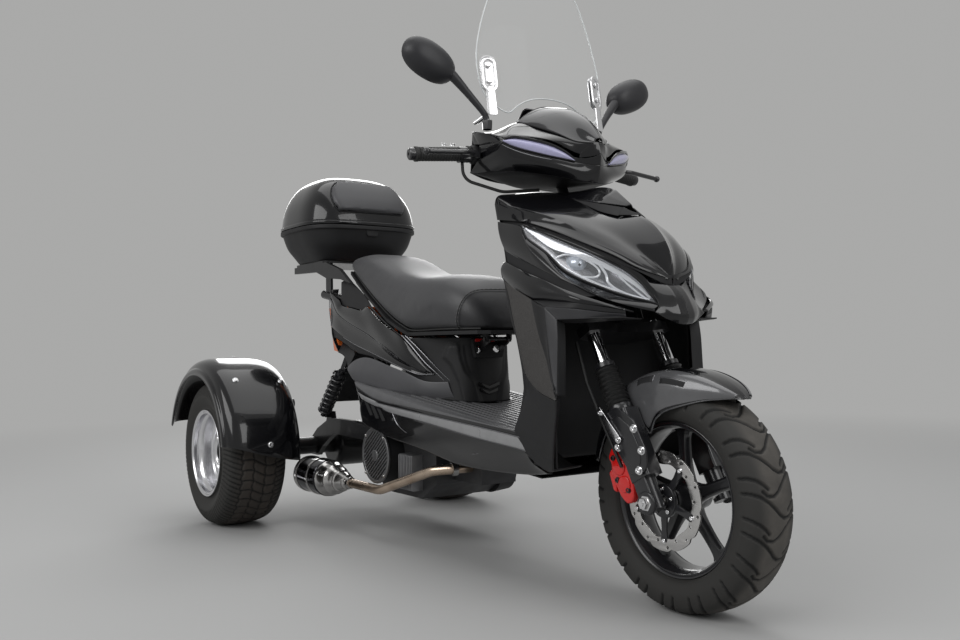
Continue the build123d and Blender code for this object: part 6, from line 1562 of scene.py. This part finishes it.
# lower part of the flanks
flank_rows = [[(1340, -208, 515), (1370, -218, 500), (1420, -226, 473), (1491, -236, 456)],
              [(1349, -207, 475), (1385, -218, 460), (1430, -226, 440), (1486, -232, 428)],
              [(1331, -207, 438), (1372, -217, 420), (1425, -225, 400), (1476, -229, 390)],
              [(1297, -207, 378), (1345, -214, 366), (1408, -221, 350), (1467, -227, 338)],
              [(1300, -206, 354), (1352, -207, 322), (1418, -208, 295), (1462, -223, 301)]]
panel("flank_lower", flank_rows, matte, nu=26, nv=26, outside=(1380, -60, 420))
front_run = [row[-1] for row in flank_rows]
panel("flank_lower_return", [front_run, [(1484, -216, 462), (1478, -215, 430), (1468, -214, 392), (1458, -213, 340),
                                          (1450, -212, 306)]], matte, nu=26, nv=6, outside=(1380, -60, 420))
panel("flank_lower_floor", [flank_rows[-1], [(1300, -120, 350), (1350, -120, 322), (1410, -120, 298),
                                             (1440, -120, 302)]], dark, nu=20, nv=4, outside=(1380, 0, 420))

liner_plan = natural([(1462, 213), (1425, 210), (1385, 203), (1350, 190), (1330, 158), (1322, 100), (1319, 44),
                      (1318, 0)], 30)
rows = [[P(x, y, z + max(0, 1400 - x) * 0.06) for x, y in both_sides(liner_plan)] for z in np.linspace(302, 640, 34)]
liner = shell("wheel_well_shell", *grid(rows), dark, (1650, 0, 400), angle=40)
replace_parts(liner, "wheel_well_liner")


# ---------------------------------------------------------------- front fender
fender_turns = [53, 55.5, 59, 64, 70, 78, 88, 97, 103, 109, 118, 130, 142, 154, 165]
fender_ridge = [276, 277.5, 279, 280, 280.5, 281, 281, 280.5, 280, 279, 277, 273, 269, 266, 263]
fender_half = [12, 28, 42, 55, 64, 72, 77, 78, 78, 77, 75, 71, 66, 60, 54]
fender_low = [276, 268, 256, 241, 224, 206, 189, 168, 146, 178, 232, 226, 228, 232, 236]
GUARD_ROWS = 72
guard = natural(list(zip(fender_turns, fender_ridge, fender_half, fender_low)), GUARD_ROWS)


def fender_row(i, off=0.0, count=30):
    """Half section of the front fender, off millimetres outside it."""
    t, ridge, w, low = guard[i]
    low = min(low, ridge - 3)
    fall = min(36, (ridge - low) * 0.5)
    points = [(0, ridge + 1), (w * 0.34, ridge), (w * 0.62, ridge - fall * 0.12), (w * 0.84, ridge - fall * 0.36),
              (w * 0.98, ridge - fall), (w * 1.0, ridge - fall - (ridge - fall - low) * 0.5), (w * 1.0, low)]
    line = natural(points, count)
    c, s = math.cos(math.radians(t)), math.sin(math.radians(t))
    return [(WB + (r + off) * c, y, FRONT_RADIUS + (r + off) * s) for y, r in line]


rows = [[P(x, -y, z) for x, y, z in row[::-1]] + [P(x, y, z) for x, y, z in row[1:]]
        for row in map(fender_row, range(GUARD_ROWS))]
front_guard = shell("front_guard", *grid(rows), gloss, (WB, 0, FRONT_RADIUS), "steering", 45, bevel=0.0008)
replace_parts(front_guard, "front_fender")


def fender_patch(i0, i1, j0, j1, off, steps=10):
    """Rows of points on the fender between two turns and two places across it."""
    rows = []
    for a in np.linspace(i0, i1, steps):
        i = int(a)
        f = a - i
        p, q = fender_row(i, off), fender_row(min(i + 1, GUARD_ROWS - 1), off)
        line = [tuple(u + (v - u) * f for u, v in zip(m, n)) for m, n in zip(p, q)]
        rows.append([tuple(natural(line[int(j):int(j) + 2] if j < 28 else line[27:29], 11)[int(round((j % 1) * 10))])
                     for j in np.linspace(j0, j1, steps)])
    return rows


def fender_piece(name, patches, mat, thickness):
    """Sheet on the fender over one or more patches, with its mirror image."""
    verts, faces = [], []
    for args in patches:
        v, f = sheet_pair(fender_patch(*args))
        faces += [tuple(len(verts) + i for i in q) for q in f]
        verts += v
    return shell(name, verts, faces, mat, (WB, 0, FRONT_RADIUS), "steering", 45, thickness, 0.0, 1.0)


silver_guard = material("guard_grey", (0.13, 0.13, 0.135), 0.24, 0.3, coat=0.8, noise=0.12, rough_var=0.06)
fender_piece("guard_insert", [(4, 50, 10.5, 27.9, 0.4, 40)], silver_guard, 0.0016)
fender_piece("guard_vents", [(24.5, 32, 16.8, 21.6, 2.3, 8), (35, 44, 15.6, 20.6, 2.3, 8)], dark, 0.0011)
# Thin bright rims round the fender vents: painted highlights
edge_runs = []
for i0, i1, j0, j1 in ((24.2, 32.3, 16.5, 21.9), (34.7, 44.3, 15.3, 20.9)):
    rows = fender_patch(i0, i1, j0, j1, 2.8, 8)
    edge_runs.append(([p for p in rows[0]] + [r[-1] for r in rows[1:]] + rows[-1][::-1][1:] +
                      [r[0] for r in rows[::-1][1:]], 0.9))
tubes("guard_vent_edges", edge_runs, edge_highlight_mat, "steering", 6, mirror=True)
side_line = [fender_row(i, 2.0)[20] for i in range(4, 50)]
low_edge = [fender_row(i)[-1] for i in range(1, 71)]
tubes("guard_lines", [(side_line, [0.6, 1.4, 1.4, 0.6]), (low_edge, 1.6)], silver_guard, "steering", 6, mirror=True)


# ---------------------------------------------------------------- fork legs, caliper and hose bracket
def fork(along, forward, y):
    """Point beside the fork: along it from the axle, and forward of it."""
    return (WB - math.sin(RAKE) * along + math.cos(RAKE) * forward, y,
            FRONT_RADIUS + math.cos(RAKE) * along + math.sin(RAKE) * forward)


def fork_spots(y, *places):
    """Bolt places on the right of the fork, each (along, forward) of the axle."""
    return [(P(*fork(along, forward, y)), (0, -1, 0)) for along, forward in places]


FORK_AXIS = (-math.sin(RAKE), 0, math.cos(RAKE))


def fork_plane(y, side=-1):
    """Drawing plane beside a fork leg: u is backwards or forwards, v is up the leg, normal is outwards."""
    return axes(fork(0, 0, y), (-side * math.cos(RAKE), 0, -side * math.sin(RAKE)), FORK_AXIS)


plate_outline = [(-30, 214), (18, 216), (54, 168), (58, 96), (42, 62), (14, 56), (-10, 70), (-20, 110), (-32, 168)]
parts = []
for side in (-1, 1):
    place = fork_plane(side * 128.5, side)
    parts.append(([rounded([(-side * u, v) for u, v in plate_outline], 12)], place, 5, 1.4))
    parts.append(([rounded([(-side * u, v) for u, v in [(-20, 196), (14, 198), (40, 158), (44, 104), (32, 76),
                                                        (8, 74), (-8, 104), (-20, 160)]], 10)],
                  fork_plane(side * 131, side), 4, 1.6))
    parts.append(([circle(0, 0, 25, 40)], fork_plane(side * 122, side), 12, 3))
    parts.append(([rounded([(-side * u, v) for u, v in [(-19, 60), (19, 60), (20, -8), (-20, -8)]], 8)],
                  fork_plane(side * 119, side), 10, 3))
plates("fork_plates", parts, black_alloy, "steering")
places = [(P(*fork(along, forward, side * 132.5)), (0, side, 0)) for side in (-1, 1)
          for along, forward in ((150, 48), (100, 47), (66, 20), (170, -14), (134, -15))]
bolts("fork_bolts", places, chrome, "steering", 7.5, 5)
nut_profile = [(17, 0), (17, 3), (13, 4), (12, 12), (6, 12.5), (5.5, 15), (0.1, 15)]
nuts = [(P(WB, side * 126, FRONT_RADIUS), (0, side, 0), nut_profile) for side in (-1, 1)]
lathe("axle_nuts", nuts, chrome, "steering", 6)
bands = []
for side in (-1, 1):
    bands.append((P(*fork(212, 0, side * 101)), FORK_AXIS,
                  [(20, -3), (25.5, -3), (26, 0), (26, 10), (24, 13), (20, 13)]))
    bands.append((P(*fork(318, 0, side * 101)), FORK_AXIS, [(18, -2), (23, -2), (23, 8), (20, 10), (17, 10)]))
lathe("gaiter_bands", bands, black_alloy, "steering", 40)
clip = [(-34, 232), (-24, 236), (-10, 190), (2, 156), (4, 140), (-8, 138), (-18, 158), (-30, 196)]
plates("hose_bracket", [([rounded(clip, 4)], fork_plane(-136), 3, 0.7)], alloy, "steering")
bolts("hose_bolts", fork_spots(-138, (146, -2), (222, -28)), chrome, "steering", 6, 4)
body = [(-74, 150), (-60, 158), (-46, 150), (-38, 132), (-34, 96), (-40, 60), (-50, 34), (-66, 22), (-82, 26),
        (-92, 46), (-96, 84), (-92, 112), (-86, 122), (-90, 138)]
red_parts = [([rounded(body, 9)], fork_plane(-93), 20, 5),
             ([rounded([(u * 0.9 - 6, v * 0.96 + 2) for u, v in body], 8)], fork_plane(-61), 8, 2.5),
             ([rounded([(-104, 108), (-92, 112), (-92, 84), (-101, 60), (-109, 68)], 4)], fork_plane(-79), 44, 3),
             ([circle(-66, 66, 19, 32)], fork_plane(-102), 9, 3),
             ([circle(-64, 106, 19, 32)], fork_plane(-102), 9, 3),
             ([rounded([(-52, 162), (-38, 154), (-30, 128), (-40, 122), (-54, 140)], 5)], fork_plane(-98), 12, 3)]
caliper = plates("caliper_body", red_parts, red, "steering")
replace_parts(caliper, "brake_caliper")
bolts("caliper_pins", fork_spots(-104, (82, -82), (50, -60), (130, -72)), black_alloy, "steering", 5.5, 4)
bolts("caliper_bolts", fork_spots(-105, (146, -44), (64, -28)), chrome, "steering", 8, 6)
plates("caliper_bracket", [([rounded([(-60, 152), (-30, 158), (-18, 120), (-20, 60), (-36, 44), (-48, 60), (-36, 100),
                                      (-48, 136)], 8)], fork_plane(-94), 9, 2)], black_alloy, "steering")


# ---------------------------------------------------------------- exhaust, engine and rear suspension
bronze = material("bronze_pipe", (0.46, 0.30, 0.20), 0.28, 1.0, noise=0.45, noise_scale=16, rough_var=0.12,
                  tint=(0.62, 0.52, 0.42))
black_chrome = material("black_chrome", (0.055, 0.055, 0.06), 0.10, 1.0, rough_var=0.04)
stainless = material("stainless", (0.52, 0.51, 0.50), 0.17, 1.0, noise=0.12, rough_var=0.07)
can = [(0.1, 0), (20, 0), (22, 2), (22, 9), (51, 11), (57, 14), (59.5, 19), (59.5, 27), (58, 29), (58, 166),
       (59.5, 168), (59.5, 175), (57.5, 177), (57, 180)]
cone = [(57, 180), (58, 182), (58, 188), (55, 192), (50.5, 208), (46, 221), (47.5, 223), (47.5, 229), (44, 232),
        (39, 250), (34, 262), (35, 264), (35, 270), (31, 273), (26, 290), (22, 302), (23, 304), (23, 310), (19, 313),
        (16.5, 322), (14.6, 326)]
MUFFLER_X, MUFFLER_Y, MUFFLER_Z = 78, -192, 156
start = P(MUFFLER_X, MUFFLER_Y, MUFFLER_Z)
muffler = lathe("muffler_can", [(start, (1, 0, 0), can)], black_chrome, sides=72)
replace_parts(muffler, "muffler")
lathe("muffler_cones", [(start, (1, 0, 0), cone)], stainless, sides=72)
tail_pipe = [(19, -14), (22, -13), (23, -10), (23, 6), (19, 6)]
lathe("muffler_outlet", [(start, (1, 0, 0), [(17, 4), (17, -14)] + tail_pipe)], chrome, sides=40)
strap = [(58, -6), (60.5, -5.5), (60.5, 5.5), (58, 6)]
clamps = [(P(x, MUFFLER_Y, MUFFLER_Z), (1, 0, 0), strap) for x in (112, 196)]
lathe("muffler_straps", clamps, stainless, sides=72)
springs = []
for angle in (40, 160, 280):
    t = math.radians(angle)
    c, s = math.cos(t), math.sin(t)
    run = []
    for k in range(130):
        a = k / 129
        r = 50 - 9 * a + 4.0 * math.cos(2 * math.pi * 11 * a)
        w = 4.0 * math.sin(2 * math.pi * 11 * a)
        run.append((MUFFLER_X + 194 + 34 * a, MUFFLER_Y + r * c - w * s, MUFFLER_Z + r * s + w * c))
    springs.append((run, 0.9))
tubes("muffler_springs", springs, chrome, sides=6)
lathe("pipe_clamps", [(P(404, MUFFLER_Y, MUFFLER_Z), (1, 0, 0), [(14, -9), (17.5, -8.5), (17.5, 8.5), (14, 9)]),
                      (P(884, -112, 240), (0.2, 0.9, 0.1), [(14, -8), (19, -7.5), (19, 7.5), (14, 8)])], stainless,
      sides=40)

# fan cover with slanted ribs, and finned casing details
FAN_X, FAN_Z, CASE_X, CASE_Z = 536, 252, 520, 214
fan = axes((FAN_X, -170.5, FAN_Z), (1, 0, 0), (0, 0, 1))
parts = [([circle(0, 0, 85, 72), circle(0, 0, 74, 72)], fan, 8, 2.2), ([circle(0, 0, 17, 36)], fan, 10, 2.5)]
for k in range(-7, 8):
    v = k * 10
    reach = math.sqrt(75 ** 2 - v * v)
    bar = [(-reach, v - 2.4), (reach, v - 2.4), (reach, v + 2.4), (-reach, v + 2.4)]
    parts.append(([turned(bar, math.radians(38))], fan, 7, 1.2))
plates("fan_grille", parts, material("grille_alloy", (0.20, 0.20, 0.205), 0.32, 0.7, noise=0.15, rough_var=0.1))
bolts("fan_bolts", [(spot, (0, -1, 0)) for spot in bolt_circle(P(FAN_X, -175, FAN_Z), 0.080, 0, 45, 4)], steel,
      radius=4.5, height=3)
fin = rounded([(-34, -52), (34, -52), (34, 52), (-34, 52)], 8)
fins = [([fin], axes((650 + k * 9, -122, CASE_Z), (0, 1, 0), (0, 0, 1)), 3.2, 0.7) for k in range(9)]
plates("cylinder_fins", fins, cast)
case = [([rounded([(-150, -46), (60, -56), (96, -20), (92, 34), (30, 58), (-120, 46), (-160, 10)], 22)],
         axes((CASE_X, 119, CASE_Z), (-1, 0, 0), (0, 0, 1)), 14, 5)]
case.append(([circle(96, 4, 46, 48)], axes((CASE_X, 121, CASE_Z), (-1, 0, 0), (0, 0, 1)), 20, 5))
plates("drive_cover", case, cast)
spots = [(-140, -28), (-60, -44), (40, -44), (84, -10), (78, 28), (20, 46), (-60, 44), (-130, 32)]
bolts("case_bolts", [(P(CASE_X - u, 127, CASE_Z + v), (0, 1, 0)) for u, v in spots], steel, radius=5, height=4)

# shock absorber springs
coils = []
for side in (-1, 1):
    a, b = Vector((130, side * 150, 366)), Vector((250, side * 150, 492))
    d = (b - a).normalized()
    u = d.cross(Vector((0, 1, 0))).normalized()
    w = d.cross(u)
    run = []
    for k in range(190):
        f = k / 189
        t = 2 * math.pi * 8.2 * f
        run.append(tuple(a + (b - a) * f + (u * math.cos(t) + w * math.sin(t)) * 21))
    coils.append((run, 3.6))
tubes("shock_springs", coils, black_alloy, sides=8)


# ---------------------------------------------------------------- finishes of the CAD nodes that stay
amber = material("amber_lens", (0.72, 0.16, 0.03), 0.12, 0.0, coat=1.0, noise=0.25, noise_scale=120, rough_var=0.05,
                 stretch=(1, 8, 8))
engine_grey = material("engine_cast", (0.075, 0.075, 0.078), 0.5, 0.8, noise=0.35, noise_scale=30, rough_var=0.14,
                       bump=0.5, bump_scale=420)
cable = material("cable_sheath", (0.012, 0.012, 0.012), 0.5, noise=0.2, bump=0.4, bump_scale=1500)
for node, mat in (("main_frame", frame_paint), ("engine_block", engine_grey), ("engine_covers", matte),
                  ("exhaust_pipe", bronze), ("rear_shocks", black_alloy), ("rear_swing_frame", frame_paint),
                  ("fender_stays", frame_paint), ("under_seat_bin", matte), ("tail_light", amber),
                  ("plate_holder", matte), ("grab_rail", frame_paint), ("belly_pan", matte),
                  ("steering_stem", frame_paint), ("fork_tubes", chrome), ("fork_gaiters", gaiter_rubber),
                  ("fork_legs", black_alloy), ("front_axle", steel), ("handlebar", frame_paint),
                  ("brake_levers", black_alloy), ("control_cables", cable), ("seat_pan", matte)):
    for holder in bpy.data.objects[node].material_slots:
        holder.material = mat
low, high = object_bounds()
